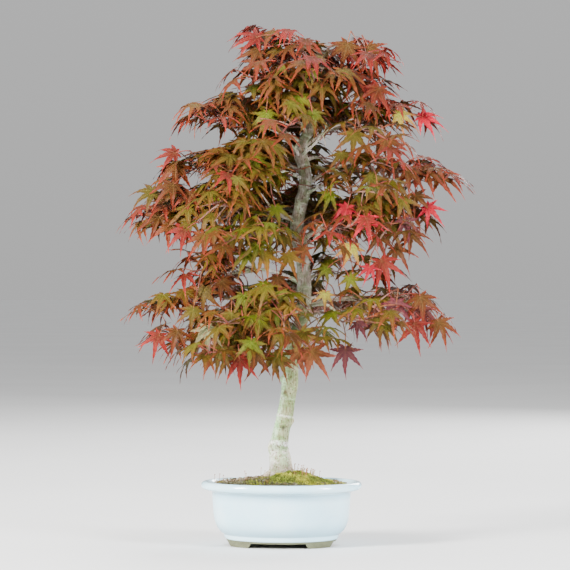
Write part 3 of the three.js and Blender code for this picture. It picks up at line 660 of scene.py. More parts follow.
# Bare snags and twigs that the foliage leaves open: their lines, the radius at each end and how pale they are.
SNAGS = [
    ([(24, -5, 238), (36, -14, 240.5), (46, -20, 240), (55, -26, 233), (63, -30, 227)], 1.7, 1.1, 0.9),
    ([(33, -18, 305), (37, -24, 312), (40, -27, 318), (42, -29, 325)], 2.3, 1.5, 1.0),
    ([(38, -25, 315), (35, -27, 319), (34, -28, 322)], 1.4, 1.0, 1.0),
    ([(14, -4, 324), (2, -13, 327), (-8, -20, 335), (-15, -24, 343), (-21, -27, 351)], 1.3, 0.7, 0.6),
    ([(-3, -17, 330), (-5, -19, 337), (-9, -21, 345)], 0.9, 0.6, 0.5),
    ([(-28, -8, 276), (-33, -12, 279), (-36, -15, 280)], 1.2, 0.8, 0.9),
    ([(52, -30, 319), (58, -36, 310), (66, -44, 300)], 0.9, 0.6, 0.4),
    ([(20, -2, 389), (28, -9, 396), (35, -14, 403), (41, -17, 410), (50, -20, 416), (61, -22, 420),
      (72, -24, 425)], 1.7, 0.8, 1.0),
    ([(41, -17, 410), (43, -18, 403), (44, -18, 398)], 0.8, 0.5, 0.8),
    ([(41, -17, 410), (44, -18, 416), (45, -18, 421)], 0.7, 0.5, 0.9),
    ([(18, -2, 389), (12, -7, 397), (6, -11, 403), (0, -14, 409), (-8, -17, 413), (-19, -20, 417)], 1.8, 0.7, 0.9),
    ([(7, -11, 402), (9, -12, 408), (8, -12, 412)], 0.9, 0.6, 1.0),
]


def snags_skin(skin):
    for points, first, last, pale in SNAGS:
        line = spline(points, 22)
        s = np.linspace(0, 1, 22)
        line = line + 0.5 * np.stack([noise(line + 40 * k, 7.0, 71 + k, 2) for k in range(3)], 1)
        radii = (first + (last - first) * s) * np.interp(s, [0, 0.95, 1], [1, 1, 0.8])
        points, faces = tube(line, radii * (1 + 0.16 * noise(line, 4.0, 75)), 9)
        tint = mixed([0.20, 0.10, 0.09], [0.62, 0.58, 0.52], pale * (0.8 + 0.2 * noise(points, 5.0, 76)))
        skin.add(from_tree(points), faces, tint)


# Surface roots: heading, reach, start height and width.
ROOTS = [
    (196, 30, 75, 3.6), (-34, 26, 74, 3.2), (-118, 22, 72, 2.8),
    (44, 27, 73, 3.2), (110, 24, 73, 3.0), (158, 22, 72, 2.6),
]


def soil_height(x, y):
    away = ((x - 4) ** 2 + y**2) / (2 * 30**2)
    return 60.4 + 9.2 * np.exp(-away) + 0.7 * np.sin(x / 7) * np.cos(y / 6)


def ground(x, y):
    """The loose top of the soil, heaped up a little to the left of the trunk."""
    return soil_height(x, y) + 1.9 * np.exp(-((x + 42) ** 2) / (2 * 21**2) - (y - 4) ** 2 / (2 * 26**2))


def roots_skin(skin):
    for k, (heading, reach, top, wide) in enumerate(ROOTS):
        s = np.linspace(0, 1, 18)
        bend = math.radians(heading) + 0.5 * (s - 0.2) * (1 if k % 2 else -1)
        out = 5 + (reach - 5) * s
        x, y = out * np.cos(bend), out * np.sin(bend)
        drop = smooth(0.0, 0.62, s)
        low = soil_height(x, y) + 0.4 - 0.2 * wide
        z = top * (1 - drop) + low * drop - 3.2 * wide * smooth(0.6, 1.0, s)
        s = np.linspace(0, 1, 40)
        radii = wide * (1.15 - 0.75 * s) * (1 + 0.08 * np.sin(22 * s + k))
        points, faces = tube(spline(np.stack([x, y, z], 1), len(s)), radii, 12)
        tint = mixed([0.50, 0.42, 0.34], [0.14, 0.085, 0.045], smooth(0.2, 0.9, tube_shares(s, 12, (0, 1))))
        skin.add(from_tree(points + 0.25 * noise(points, 2.2, 7)[:, None]), faces, tint)


# Leaves: those of a shoot take their places from the leaves of its solid

# A solid leaf's tips sink by this share of its length. The blades that take its place sink a little less.
DROOP, FINE_DROOP = 0.42, 0.38
# How far along its middle lobe a blade's middle lies.
BLADE_MIDDLE = 0.35
# A leaf's lobes and the seams between them: heading from the middle lobe and reach, for a length of 1.
LOBES = [(-132, 0.36), (-88, 0.64), (-42, 0.9), (0, 1.0), (42, 0.9), (88, 0.64), (132, 0.36)]
SEAMS = [(-180, 0.07), (-110, 0.16), (-65, 0.24), (-21, 0.28), (21, 0.28), (65, 0.24), (110, 0.16), (180, 0.07)]
# The two small lobes by the stalk aren't in the solids.
TIPS, DIPS = LOBES[1:-1], SEAMS[2:-2]


def flat(turn, reach):
    return np.array([reach * math.cos(math.radians(turn)), reach * math.sin(math.radians(turn))])


# A solid leaf's outline in the order it is sewn, for a length of 1.
SOLID_OUTLINE = np.zeros((10, 3))
SOLID_OUTLINE[0] = -0.07, 0, 0
SOLID_OUTLINE[1::2] = [[*flat(turn, reach), -DROOP * reach**2] for turn, reach in TIPS]
SOLID_OUTLINE[2::2] = [[*flat(turn, reach), 0.02] for turn, reach in DIPS]


def leaves_of(node):
    """The leaves and the stem line of one shoot's solid, in the tree's frame."""
    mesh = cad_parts[node].data
    co = np.zeros(len(mesh.vertices) * 3)
    mesh.vertices.foreach_get("co", co)
    co = co.reshape(-1, 3)
    _, first, same = np.unique(np.round(co * 1e6).astype(np.int64), axis=0, return_index=True, return_inverse=True)
    same = same.ravel().tolist()
    points = to_tree(co[first])
    after = [{} for _ in points]
    for face in mesh.polygons:
        a, b, c = (same[v] for v in face.vertices)
        for p, q, r in ((a, b, c), (b, c, a), (c, a, b)):
            after[p][q] = r
    # A blade's middle has the ten points of the outline around it.
    leaves, used = [], set()
    for v, ring_map in enumerate(after):
        if len(ring_map) != 10:
            continue
        ring = [next(iter(ring_map))]
        while len(ring) < 10:
            ring.append(ring_map.get(ring[-1], -1))
        if len(set(ring)) != 10 or -1 in ring:
            continue
        away = np.linalg.norm(points[ring] - points[v], axis=1)
        start = int(np.argmin(away))
        ring = ring[start:] + ring[:start]
        away = np.roll(away, -start)
        if not (away[5] > away[4] and away[5] > away[6] and away[0] < 5 and away[5] > 3 * away[0]):
            continue
        outline = points[ring]
        long = np.linalg.norm(outline[5] - outline[0]) / math.hypot(1.07, DROOP)
        model = SOLID_OUTLINE * long
        if np.dot(np.cross(outline[2] - outline[0], outline[8] - outline[0]), points[v] - outline[0]) < 0:
            model = model * np.array([1, -1, 1])
        u, _, vt = np.linalg.svd((model - model.mean(0)).T @ (outline - outline.mean(0)))
        turn = (u @ np.diag([1, 1, np.sign(np.linalg.det(u @ vt))]) @ vt).T
        origin = outline.mean(0) - turn @ model.mean(0)
        collar = {n for i in ring for n in after[i]} - set(ring) - {v}
        foot = {n for i in collar for n in after[i]} - set(ring) - collar - {v}
        used |= set(ring) | collar | {v}
        foot = points[list(foot)].mean(0)
        leaves.append({"turn": turn, "origin": origin, "long": long, "foot": foot, "droop": FINE_DROOP})
    # The stem's corners stand in rings of four along it.
    stem = np.array([points[i] for i in range(len(points)) if i not in used])
    chord = np.linalg.svd(stem - stem.mean(0))[2][0]
    rings = stem[np.argsort(stem @ chord)].reshape(-1, 4, 3).mean(1)
    gaps = np.linalg.norm(np.diff(rings, axis=0), axis=1)
    return leaves, rings[::-1] if gaps[0] < gaps[-1] else rings


def leaf_template():
    """A palmate leaf laid flat, for a length of 1: rows of x, y, lobe, distance from the rib, and shares along
    and across the lobe, and the faces."""
    inner = 2
    rows, faces = [(0, 0, 3, 0, 0, 0)], []
    for lobe, (heading, length) in enumerate(LOBES):
        c, s = flat(heading, 1)
        spin = np.array([[c, -s], [s, c]])
        right, left = (flat(turn - heading, reach) for turn, reach in SEAMS[lobe:lobe + 2])
        rib = (left[0] + right[0]) / 2
        outer = 3 if lobe in (0, 6) else 8
        before = None
        for i in range(1, inner + outer):
            if i <= inner:
                t = i / inner
                edges = {1: left * t, -1: right * t, 0: np.array([rib * t, 0])}
            else:
                p = (i - inner) / outer
                tooth = 1 if (i - inner) % 2 else -0.5
                swell = (1 + 1.5 * p) * (1 - p) ** 1.7
                edges = {0: np.array([rib + (length - rib) * p, 0])}
                for side, seam in ((1, left), (-1, right)):
                    x = seam[0] + (length - seam[0]) * p + 0.012 * (tooth > 0)
                    y = seam[1] * swell + side * 0.017 * tooth * (1 - p) ** 0.7
                    edges[side] = np.array([x, y])
            line = range(len(rows), len(rows) + 5)
            for u in (-1, -0.5, 0, 0.5, 1):
                at = edges[0] * (1 - abs(u)) + edges[1 if u > 0 else -1] * abs(u)
                rows.append((*(spin @ at), lobe, at[1], math.hypot(*at) / length, u))
            if before is None:
                faces += [(0, line[k], line[k + 1]) for k in range(4)]
            else:
                faces += [(before[k], line[k], line[k + 1], before[k + 1]) for k in range(4)]
            before = line
        faces += [(before[k], len(rows), before[k + 1]) for k in range(4)]
        rows.append((*(spin @ [length, 0]), lobe, 0, 1, 0))
    rows = np.array(rows)
    # Seams between lobes are shared.
    keys = np.round(rows[:, :2] * 1e5).astype(int)
    _, first, same = np.unique(keys, axis=0, return_index=True, return_inverse=True)
    same = same.ravel().tolist()
    welded = [tuple(same[corner] for corner in face) for face in faces]
    return rows[first].T, [face for face in welded if len(set(face)) == len(face)]


TEMPLATE, TEMPLATE_FACES = leaf_template()

# Leaf colours, as linear light, from the middle of a leaf to its tips.
GREEN = [(0.082, 0.110, 0.005), (0.080, 0.080, 0.004), (0.100, 0.050, 0.005), (0.180, 0.064, 0.012)]
OLIVE = [(0.074, 0.064, 0.005), (0.074, 0.046, 0.004), (0.104, 0.027, 0.005), (0.205, 0.036, 0.011)]
ORANGE = [(0.067, 0.029, 0.005), (0.080, 0.022, 0.004), (0.135, 0.015, 0.005), (0.300, 0.030, 0.013)]
RED = [(0.090, 0.014, 0.006), (0.140, 0.007, 0.006), (0.195, 0.008, 0.008), (0.390, 0.030, 0.024)]
CRIMSON = [(0.260, 0.003, 0.012), (0.330, 0.003, 0.017), (0.390, 0.004, 0.026), (0.680, 0.040, 0.070)]
CREAM = [(0.190, 0.200, 0.022), (0.230, 0.175, 0.023), (0.260, 0.090, 0.028), (0.420, 0.135, 0.080)]
MAUVE = [(0.085, 0.023, 0.024), (0.085, 0.016, 0.022), (0.108, 0.014, 0.023), (0.230, 0.050, 0.054)]
# Pale salmon, for a few low leaves in front: partly their own colour, partly painted light, paler than their shaded
# place would show.
SALMON = [(0.230, 0.110, 0.028), (0.260, 0.075, 0.028), (0.290, 0.056, 0.030), (0.460, 0.105, 0.075)]
GOLD = [(0.170, 0.120, 0.012), (0.200, 0.100, 0.013), (0.260, 0.070, 0.018), (0.420, 0.085, 0.032)]
DRY = [(0.230, 0.245, 0.120), (0.200, 0.185, 0.085), (0.150, 0.115, 0.052), (0.230, 0.180, 0.085)]
SCALE = np.array([GREEN, OLIVE, ORANGE, RED])

# Leaves that show their faces to the front: across, up and forward, in the tree's frame, how far the middle
# lobe leans from straight down, how far the face looks up, length and colours.
SHOWN = [
    (66, 338, 58, -25, 22, 24, CRIMSON), (84, 327, 62, 15, 20, 28, CRIMSON), (71, 299, 60, -20, 15, 26, CREAM),
    (100, 284, 58, 25, 22, 33, RED), (88, 278, 66, -10, 28, 19, CRIMSON), (64, 196, 48, 0, 10, 30, MAUVE),
    (76, 222, 52, 35, 20, 21, MAUVE), (44, 252, 46, -10, 30, 20, CREAM), (20, 212, 28, 25, 12, 37, CREAM),
    (30, 194, 30, 34, 16, 34, SALMON), (-75, 217, 62, 5, 15, 29, DRY), (68, 268, 46, 32, 15, 24, GREEN),
    (46, 277, 40, -50, 32, 21, GREEN), (140, 428, 30, 75, 40, 30, CRIMSON), (116, 431, 36, 62, 34, 27, CREAM),
    (124, 325, 46, 10, 22, 26, MAUVE), (146, 338, 30, 45, 26, 25, CRIMSON), (21, 297, 22, 4, 10, 23, SALMON),
    (6, 290, 34, 25, 15, 28, GOLD), (115, 242, 52, -8, 16, 30, MAUVE), (139, 248, 44, 12, 28, 32, ORANGE),
    (99, 226, 52, 0, 22, 28, OLIVE), (133, 222, 50, 5, 20, 32, RED), (157, 223, 40, 28, 24, 29, ORANGE),
    (-60, 264, 40, 38, 24, 27, ORANGE), (31, 432, 52, 10, 26, 26, GREEN), (-15, 432, 48, -4, 24, 30, GREEN),
    (29, 474, 40, 5, 26, 19, GREEN), (66, 501, 20, -14, 24, 33, ORANGE), (87, 498, 14, 24, 26, 34, ORANGE),
    (73, 412, 50, -6, 20, 31, OLIVE), (105, 407, 44, 20, 22, 31, ORANGE), (113, 363, 44, 4, 20, 27, OLIVE),
    (-105, 380, 26, -6, 22, 33, ORANGE), (-38, 250, 60, 10, 34, 27, GREEN), (-22, 228, 62, -14, 34, 27, GREEN),
    (-50, 232, 64, 0, 30, 28, OLIVE), (-2, 214, 56, 12, 30, 28, OLIVE), (-30, 204, 60, -8, 26, 29, GREEN),
    (-60, 196, 54, -18, 24, 29, OLIVE), (-4, 190, 44, 20, 24, 28, OLIVE), (-42, 186, 52, 4, 22, 30, RED),
    (-88, 236, 46, -10, 28, 28, OLIVE), (-104, 214, 40, -18, 26, 28, ORANGE), (8, 240, 50, -20, 32, 25, GOLD),
    (-18, 262, 40, 8, 36, 24, GREEN), (-24, 300, 60, -12, 34, 27, GREEN), (-50, 310, 56, 8, 32, 27, OLIVE),
    (48, 352, 54, -14, 32, 25, GREEN), (-6, 338, 46, 14, 34, 25, GREEN), (60, 392, 50, 8, 34, 26, OLIVE),
    (-122, 328, 34, -62, 36, 30, ORANGE), (-110, 320, 40, -60, 34, 31, ORANGE), (-96, 315, 52, -52, 32, 28, RED),
    (-90, 324, 46, -55, 42, 31, OLIVE), (-78, 309, 56, -35, 30, 28, ORANGE), (-66, 319, 50, -45, 44, 32, OLIVE),
    (-56, 303, 58, -22, 30, 28, ORANGE), (-42, 312, 54, -30, 42, 30, OLIVE), (-35, 292, 56, -6, 28, 28, GREEN),
    (-16, 292, 50, 10, 28, 28, GOLD), (-10, 316, 44, 0, 36, 26, GREEN), (-70, 332, 44, -35, 44, 30, OLIVE),
    (-92, 338, 40, -50, 44, 31, OLIVE), (126, 374, 34, 45, 38, 31, ORANGE), (142, 374, 26, 66, 40, 33, ORANGE),
    (156, 368, 16, 74, 38, 33, ORANGE), (96, 358, 46, 5, 26, 28, OLIVE), (120, 346, 40, 34, 30, 28, OLIVE),
    (134, 350, 30, 40, 30, 26, ORANGE), (128, 312, 40, 44, 30, 29, ORANGE), (110, 318, 46, 25, 28, 28, OLIVE),
    (114, 297, 44, 38, 30, 28, ORANGE), (96, 309, 52, 15, 26, 27, ORANGE), (-128, 354, 34, -58, 40, 31, OLIVE),
    (-108, 360, 40, -42, 42, 31, ORANGE), (-24, 508, 16, -80, 36, 30, RED), (-23, 495, 20, -72, 34, 29, ORANGE),
    (-21, 482, 22, -66, 34, 30, ORANGE), (-106, 392, 22, -80, 40, 28, RED), (4, 308, 30, -8, 20, 24, OLIVE),
    # Among the lowest leaves here, the OLIVE and SALMON ones have pale palettes: partly their own colour, partly
    # painted light for a low light falling on them.
    (-122, 210, 24, -24, 26, 28, RED), (-70, 198, 48, -12, 10, 30, ORANGE), (-54, 195, 52, -10, 8, 31, OLIVE),
    (-26, 192, 52, -4, 8, 31, ORANGE), (-8, 190, 44, 12, 8, 30, OLIVE), (18, 194, 27, 0, 5, 30, SALMON),
    (-4, 268, 40, 6, 32, 24, ORANGE),
]

# How far the crown reaches, in the tree's frame: height, left and right as seen from the front, front and back.
CROWN = np.array([
    [150, -66, 46, -60, 40], [160, -78, 58, -80, 60], [172, -100, 72, -92, 80], [181, -146, 100, -100, 100],
    [195, -148, 172, -106, 112], [210, -155, 176, -110, 122], [225, -158, 174, -112, 130],
    [240, -144, 168, -112, 132], [256, -114, 150, -110, 130], [270, -90, 100, -104, 118],
    [284, -104, 122, -106, 124], [300, -136, 168, -112, 138], [312, -164, 172, -116, 142],
    [330, -150, 178, -116, 142], [354, -127, 188, -110, 138], [370, -130, 184, -106, 132],
    [385, -132, 163, -102, 126], [405, -95, 155, -92, 116], [420, -103, 160, -84, 106], [430, -105, 159, -78, 98],
    [442, -76, 150, -72, 90], [458, -50, 127, -66, 76], [480, -54, 111, -56, 62], [495, -55, 112, -46, 54],
    [508, -54, 84, -34, 44], [516, -53, 56, -26, 36], [522, -46, 20, -16, 26],
])
# Gaps between the tiers, seen from the front: left, right, bottom and top.
GAPS = [
    (-180, -93, 257, 281), (-44, -14, 257, 284), (64, 190, 259, 284), (48, 94, 247, 266), (30, 60, 203, 230),
    (-131, -50, 395, 412), (44, 76, 381, 403), (112, 152, 386, 400), (-116, -72, 140, 203), (-6, 40, 507, 540),
]
# No twiglet is added once there are this many leaves beside those of the solids.
MORE_LEAVES = 1110
LEAF_LONG = 29.0
# How near a leaf's middle may come to another's, and how much room counts when twiglets are compared.
LEAST_ROOM, MOST_ROOM = 10.5, 24
TRIES = 10
# How much redder or greener the leaves of a slot are.
TONES = {"leaf_olive": -0.35, "leaf_orange": 0.0, "leaf_red": 0.9}
# Where no leaf covers the trunk: the heights, and how far to the left and right of its axis.
BARE_TRUNK = [(262, 398, -7.5, 7.5), (0, 262, -2, 11), (0, 205, -11, 12)]
# The lowest tier ends at this height.
LOW_TIER = 262
# The pieces that share out the leaves: their names and the heights they reach.
TIERS = [("low", 228), ("second", 290), ("third", 350), ("fourth", 405), ("top", 600)]
# The place given to points of stalks and stems, away from any rib or vein.
PLAIN = (0.5, 0.5, 0.5)


def seen(points):
    """Where points in the tree's frame are seen from the front, across and up on its middle plane."""
    near = EYE[1] / (EYE[1] - points[..., 1])
    return EYE[0] + (points[..., 0] - EYE[0]) * near, EYE[2] + (points[..., 2] - EYE[2]) * near


def palette(redness):
    """Four colours from a leaf's middle to its tips, for a redness from 0 to 3."""
    i = min(int(redness), 2)
    return SCALE[i] * (1 - redness + i) + SCALE[i + 1] * (redness - i)


def leaf_skin(skin, leaf, number, colours, rng):
    x, y, lobe, aside, along_rib, across = TEMPLATE
    lobe = lobe.astype(int)
    r = np.hypot(x, y)
    free = np.clip(r - 0.24, 0, None)
    lean = np.radians(rng.normal(0, 5, 7))[lobe] * smooth(0.22, 0.6, r)
    lean = lean + np.radians(rng.normal(0, 9, 7)[lobe]) * free**1.5
    px, py = x * np.cos(lean) - y * np.sin(lean), x * np.sin(lean) + y * np.cos(lean)
    curl = np.clip(rng.normal(0.12, 0.13, 7), -0.12, 0.42)[lobe]
    fold = rng.normal(0.22, 0.16)
    droop = leaf["droop"]
    z = -droop * r**2.15 - curl * free**2
    z += fold * np.abs(aside) * smooth(0.0, 0.25, r)
    z += 0.012 * np.sin(9 * r + number) * across
    z += 0.008 * rng.normal(0, 1, len(z)) * np.abs(across)
    # A blade that droops more reaches less far.
    reach = 1 - 0.5 * (droop - DROOP) * r
    points = np.stack([px * reach, py * reach, z], 1) * leaf["long"]
    points = points @ leaf["turn"].T + leaf["origin"]
    shares = np.clip(along_rib + 0.10 * np.abs(across) + rng.normal(0, 0.05), 0, 1)
    tint = np.stack([np.interp(shares, [0.05, 0.42, 0.80, 1.0], [c[k] for c in colours]) for k in range(3)], 1)
    tint *= rng.uniform(0.78, 1.22)
    place = np.stack([along_rib, across, np.full(len(x), rng.uniform(0, 1))], 1)
    skin.add(from_tree(points), TEMPLATE_FACES, np.clip(tint, 0, 1), place)
    # The stalk runs from the stem to the notch, a little arched.
    foot = leaf["foot"]
    run = leaf["origin"] - 0.02 * leaf["turn"][:, 0] * leaf["long"] - foot
    length = np.linalg.norm(run)
    s = np.linspace(0, 1, 5)[:, None]
    line = foot - run / length * 0.4 + (run + run / length * 0.4) * s + 4 * s * (1 - s) * [0, 0, 0.07 * length]
    tint = mixed([0.30, 0.05, 0.045], [0.26, 0.10, 0.035], rng.uniform(0, 1))
    skin.rod(from_tree, line, np.interp(s[:, 0], [0, 0.25, 1], [0.75, 0.46, 0.46]), 4, tint, PLAIN)


def stem_skin(skin, rings, tone):
    line = spline(rings, 20)
    first = line[0] - line[1]
    line[0] += first / np.linalg.norm(first) * 1.2
    s = np.linspace(0, 1, len(line))
    radii = 1.0 - 0.25 * s
    for node in (0.12, 0.56, 1.0):
        radii += 0.42 * np.exp(-(((s - node + 0.02) / 0.03) ** 2))
    young = [0.20, 0.08, 0.035] if tone == "leaf_olive" else [0.20, 0.045, 0.035]
    skin.rod(from_tree, line, radii, 7, mixed([0.22, 0.12, 0.10], young, s), PLAIN)
    # A resting bud between the last pair.
    end = line[-1]
    tip = end + (end - line[-2]) / np.linalg.norm(end - line[-2]) * 2.2
    bud = spline([end, (end + tip) / 2, tip], 6)
    skin.rod(from_tree, bud, [0.8, 1.0, 0.95, 0.7, 0.4, 0.1], 7, [0.30, 0.03, 0.025], PLAIN)


def redness_of(leaf, tone, rng):
    """How red a leaf is: more so at the top and the outside, less so by the trunk and low down."""
    x, y, z = leaf["origin"]
    axis = trunk_at(min(max(z, 60), 470))
    out = math.hypot(x - axis[0], 1.1 * (y - axis[1]))
    half = np.interp(z, CROWN[:, 0], (CROWN[:, 2] - CROWN[:, 1]) / 2)
    base = 0.4 + 1.35 * smooth(0.35, 1.0, out / half) + TONES[tone]
    base += 1.0 * smooth(400, 500, z) + 0.55 * smooth(10, 110, x)
    return float(np.clip(base + rng.normal(0, 0.55), 0, 2.95))


def turned(heading, pitch, roll):
    """A leaf's frame: its middle lobe along the heading, its tip pitched down, and rolled about its rib."""
    spin = Matrix.Rotation(heading, 3, "Z") @ Matrix.Rotation(pitch, 3, "Y") @ Matrix.Rotation(roll, 3, "X")
    return np.array(spin)


def facing(lean, tilt):
    """A leaf's frame with its face to the front: its middle lobe leans from straight down, its face looks up."""
    lean, tilt = math.radians(lean), math.radians(tilt)
    along_rib = np.array([math.sin(lean), -math.cos(lean) * math.sin(tilt), -math.cos(lean) * math.cos(tilt)])
    up = np.array([0, -math.cos(tilt), math.sin(tilt)])
    return np.column_stack([along_rib, np.cross(up, along_rib), up])


def heading_to(away, rise):
    return np.array([math.cos(away) * math.cos(rise), math.sin(away) * math.cos(rise), math.sin(rise)])


def middle_of(leaf):
    return leaf["origin"] + leaf["turn"][:, 0] * BLADE_MIDDLE * leaf["long"]


# Points of a blade that are tried against the crown's limits, for a length of 1. Its middle comes first.
PROBES = np.array([[BLADE_MIDDLE, 0, 0]] + [
    [*flat(turn, share * reach), -share**2 * reach**2 * DROOP] for turn, reach in TIPS for share in (0.6, 1.0)
])
# How much more a rise parts two leaves than the same way across does, since the blades lie flat.
LAYERED = np.array([1, 1, 2.0])


def kept_in_view(found):
    """Discs seen from the front that no leaf added later hides: across, up, radius, and how far back each lies."""
    spots = [(middle_of(leaf), 0.52 * leaf["long"]) for leaf in found]
    spots += [(point, 4.5) for points, *_ in SNAGS for point in spline(points, 9)]
    return np.array([(*seen(point), radius, point[1]) for point, radius in spots])


def within(a, a_low, a_high, b, b_low, b_high):
    return (a > a_low) & (a < a_high) & (b > b_low) & (b < b_high)


def room_for(leaf, centres, discs):
    """How far a leaf stands from its nearest neighbour, or 0 where it would leave the crown or hide the trunk."""
    points = leaf["origin"] + leaf["long"] * PROBES @ leaf["turn"].T
    across, up = seen(points)
    if up.min() < CROWN[0, 0] or up.max() > CROWN[-1, 0]:
        return 0
    left, right, fore, back = (np.interp(up, CROWN[:, 0], CROWN[:, k]) for k in (1, 2, 3, 4))
    if np.any((across < left) | (across > right) | (points[:, 1] < fore) | (points[:, 1] > back)):
        return 0
    apart = np.hypot(across[:, None] - discs[:, 0], up[:, None] - discs[:, 1])
    if np.any((apart < discs[:, 2]) & (points[:, 1][:, None] < discs[:, 3])):
        return 0
    # The gaps' edges wander up and down.
    level = up - 6 * np.sin(across / 11 + 1) - 3 * np.sin(across / 5)
    if any(np.any(within(across, x0, x1, level, z0, z1)) for x0, x1, z0, z1 in GAPS):
        return 0
    before = points[:, 1] < 8
    beside = across - np.interp(up, TRUNK[:, 2], TRUNK[:, 0])
    if any(np.any(before & within(up, z0, z1, beside, x0, x1)) for z0, z1, x0, x1 in BARE_TRUNK):
        return 0
    return np.linalg.norm((centres - points[0]) * LAYERED, axis=1).min()


def shown_leaves(wood):
    """The leaves of SHOWN, on the nearest wood or on twiglets from there."""
    found, twiglets = [], []
    for x, z, forward, lean, tilt, long, colours in SHOWN:
        turn = facing(lean, tilt)
        near = (EYE[1] + forward) / EYE[1]
        origin = np.array([EYE[0] + (x - EYE[0]) * near, -forward, EYE[2] + (z - EYE[2]) * near])
        behind = origin - 15 * turn[:, 0]
        climb = np.clip(behind[2] - wood[:, 2], 0, None)
        foot = wood[np.argmin(np.linalg.norm(wood - behind, axis=1) + 0.5 * climb)]
        if np.linalg.norm(behind - foot) > 6:
            twiglets.append((foot, behind))
            foot = behind
        found.append({"turn": turn, "origin": origin, "long": long, "foot": foot, "colours": colours, "droop": 0.5})
    return found, twiglets


def sprig(rng, foot, heading, side, centres, discs):
    """A try at a twiglet with up to three leaves: how much room they have, the leaves and the twiglet's tip."""
    away = math.radians(heading + side * rng.uniform(20, 105))
    out = heading_to(away, math.radians(rng.uniform(-14, 46)))
    tip = foot + out * rng.uniform(6, 30)
    low_front = tip[1] < 0 and tip[2] < LOW_TIER
    kept, score = [], 0
    for hand in (-1, 1, 0):
        lead = away + hand * math.radians(rng.uniform(38, 78))
        stalk = heading_to(lead, math.radians(rng.uniform(-4, 48))) * rng.uniform(10, 19)
        pitch = math.radians(rng.uniform(20, 58) if low_front else rng.uniform(2, 34))
        turn = turned(lead + math.radians(rng.uniform(-18, 18)), pitch, math.radians(rng.uniform(-15, 15)))
        # Blades turn their faces out to the light, in front and behind.
        outward = math.radians(rng.uniform(4, 42)) * float(np.clip(-tip[1] / 45 + 0.25, -0.4, 1))
        turn = np.array(Matrix.Rotation(outward, 3, "X")) @ turn
        long, droop = LEAF_LONG * rng.uniform(0.78, 1.16), rng.uniform(0.12, 0.46)
        leaf = {"turn": turn, "origin": tip + stalk, "long": long, "foot": tip, "droop": droop}
        room = room_for(leaf, centres, discs)
        x, y, z = leaf["origin"]
        # The lowest tier is thinner on the right.
        if z < LOW_TIER and x > 52 and y < 20:
            room *= 0.45
        room *= 1.3 if 285 < z < 400 else 0.93 if z > 405 else 1
        if room > LEAST_ROOM and rng.uniform() < (0.95 if hand else 0.4):
            kept.append(leaf)
            score += min(room, MOST_ROOM)
    return score, kept, tip


def more_leaves(shoots):
    """Leaves in pairs on fine twiglets along the branches and shoots, each kept apart from its neighbours."""
    rng = draws(77)
    lines = [row["line"] for row in LIMBS] + [spline(rings, 12) for _, _, rings, _ in shoots]
    found, twiglets = shown_leaves(np.concatenate(lines))
    taken = [leaf for _, leaves, _, _ in shoots for leaf in leaves] + found
    centres = np.array([middle_of(leaf) for leaf in taken])
    discs = kept_in_view(found)
    sites = []
    for number, line in enumerate(lines):
        steps = 4 if number >= len(LIMBS) else 5 if LIMBS[number]["twig"] else 9
        for share in np.linspace(0.16, 0.96, steps):
            sites += [(*along(line, share), side) for side in (-1, 1)]
    for site in rng.permutation(len(sites)):
        tries = [sprig(rng, *sites[site], centres, discs) for _ in range(TRIES)]
        _, kept, tip = max(tries, key=lambda attempt: attempt[0])
        if kept:
            found += kept
            twiglets.append((sites[site][0], tip))
            centres = np.vstack([centres] + [middle_of(leaf) for leaf in kept])
        if len(found) >= MORE_LEAVES:
            break
    return found, twiglets


def twiglet_skin(skin, twiglets):
    rng = draws(19)
    for foot, tip in twiglets:
        s = np.linspace(0, 1, 6)
        run = tip - foot
        aside = np.cross(run, [0, 0, 1.0]) * rng.uniform(-0.12, 0.12)
        arch = np.array([0, 0, 0.06 * np.linalg.norm(run)]) + aside
        line = foot + run * s[:, None] + (4 * s * (1 - s))[:, None] * arch
        radii = np.interp(s, [0, 0.2, 0.8, 1], [1.0, 0.74, 0.56, 0.72])
        skin.rod(from_tree, line, radii, 5, mixed([0.25, 0.15, 0.13], [0.20, 0.055, 0.045], s))


def build_leaves(bark):
    materials = {
        tone: fine_material(f"{tone}_fine", leaf_nodes, 0.5, 0.0004, specular(0.12), shine=shine)
        for tone, shine in (("leaf_olive", 0.46), ("leaf_orange", 0.48), ("leaf_red", 0.50))
    }
    shoots = []
    for node in sorted(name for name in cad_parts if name.startswith("leafy_shoot_")):
        shoots.append((node, *leaves_of(node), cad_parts[node].data.materials[0].name))
    more, twiglets = more_leaves(shoots)
    number = 0
    rng = draws(5)
    for node, leaves, rings, tone in shoots:
        skin = Skin()
        stem_skin(skin, rings, tone)
        for leaf in leaves:
            leaf_skin(skin, leaf, number, palette(redness_of(leaf, tone, rng)), rng)
            number += 1
        skin.piece(node + "_fine", materials[tone], tone, node)
    skins = {name: Skin() for name, _ in TIERS}
    for leaf in more:
        x, _, z = leaf["origin"]
        colours = leaf.get("colours")
        if colours is None:
            colours = palette(redness_of(leaf, "leaf_orange", rng))
            if z < LOW_TIER and x > 30:
                colours = 0.5 * (colours + np.array(MAUVE))
        leaf_skin(skins[next(name for name, top in TIERS if z < top)], leaf, number, colours, rng)
        number += 1
    for name, skin in skins.items():
        skin.piece(f"leaves_{name}", materials["leaf_orange"], "leaf_orange")
    Skin(lambda skin: twiglet_skin(skin, twiglets)).piece("twiglets", bark, "bark")


# Pot, in its own frame

RIM_LENGTH, RIM_DEPTH, RIM_HEIGHT = 161, 124, 64
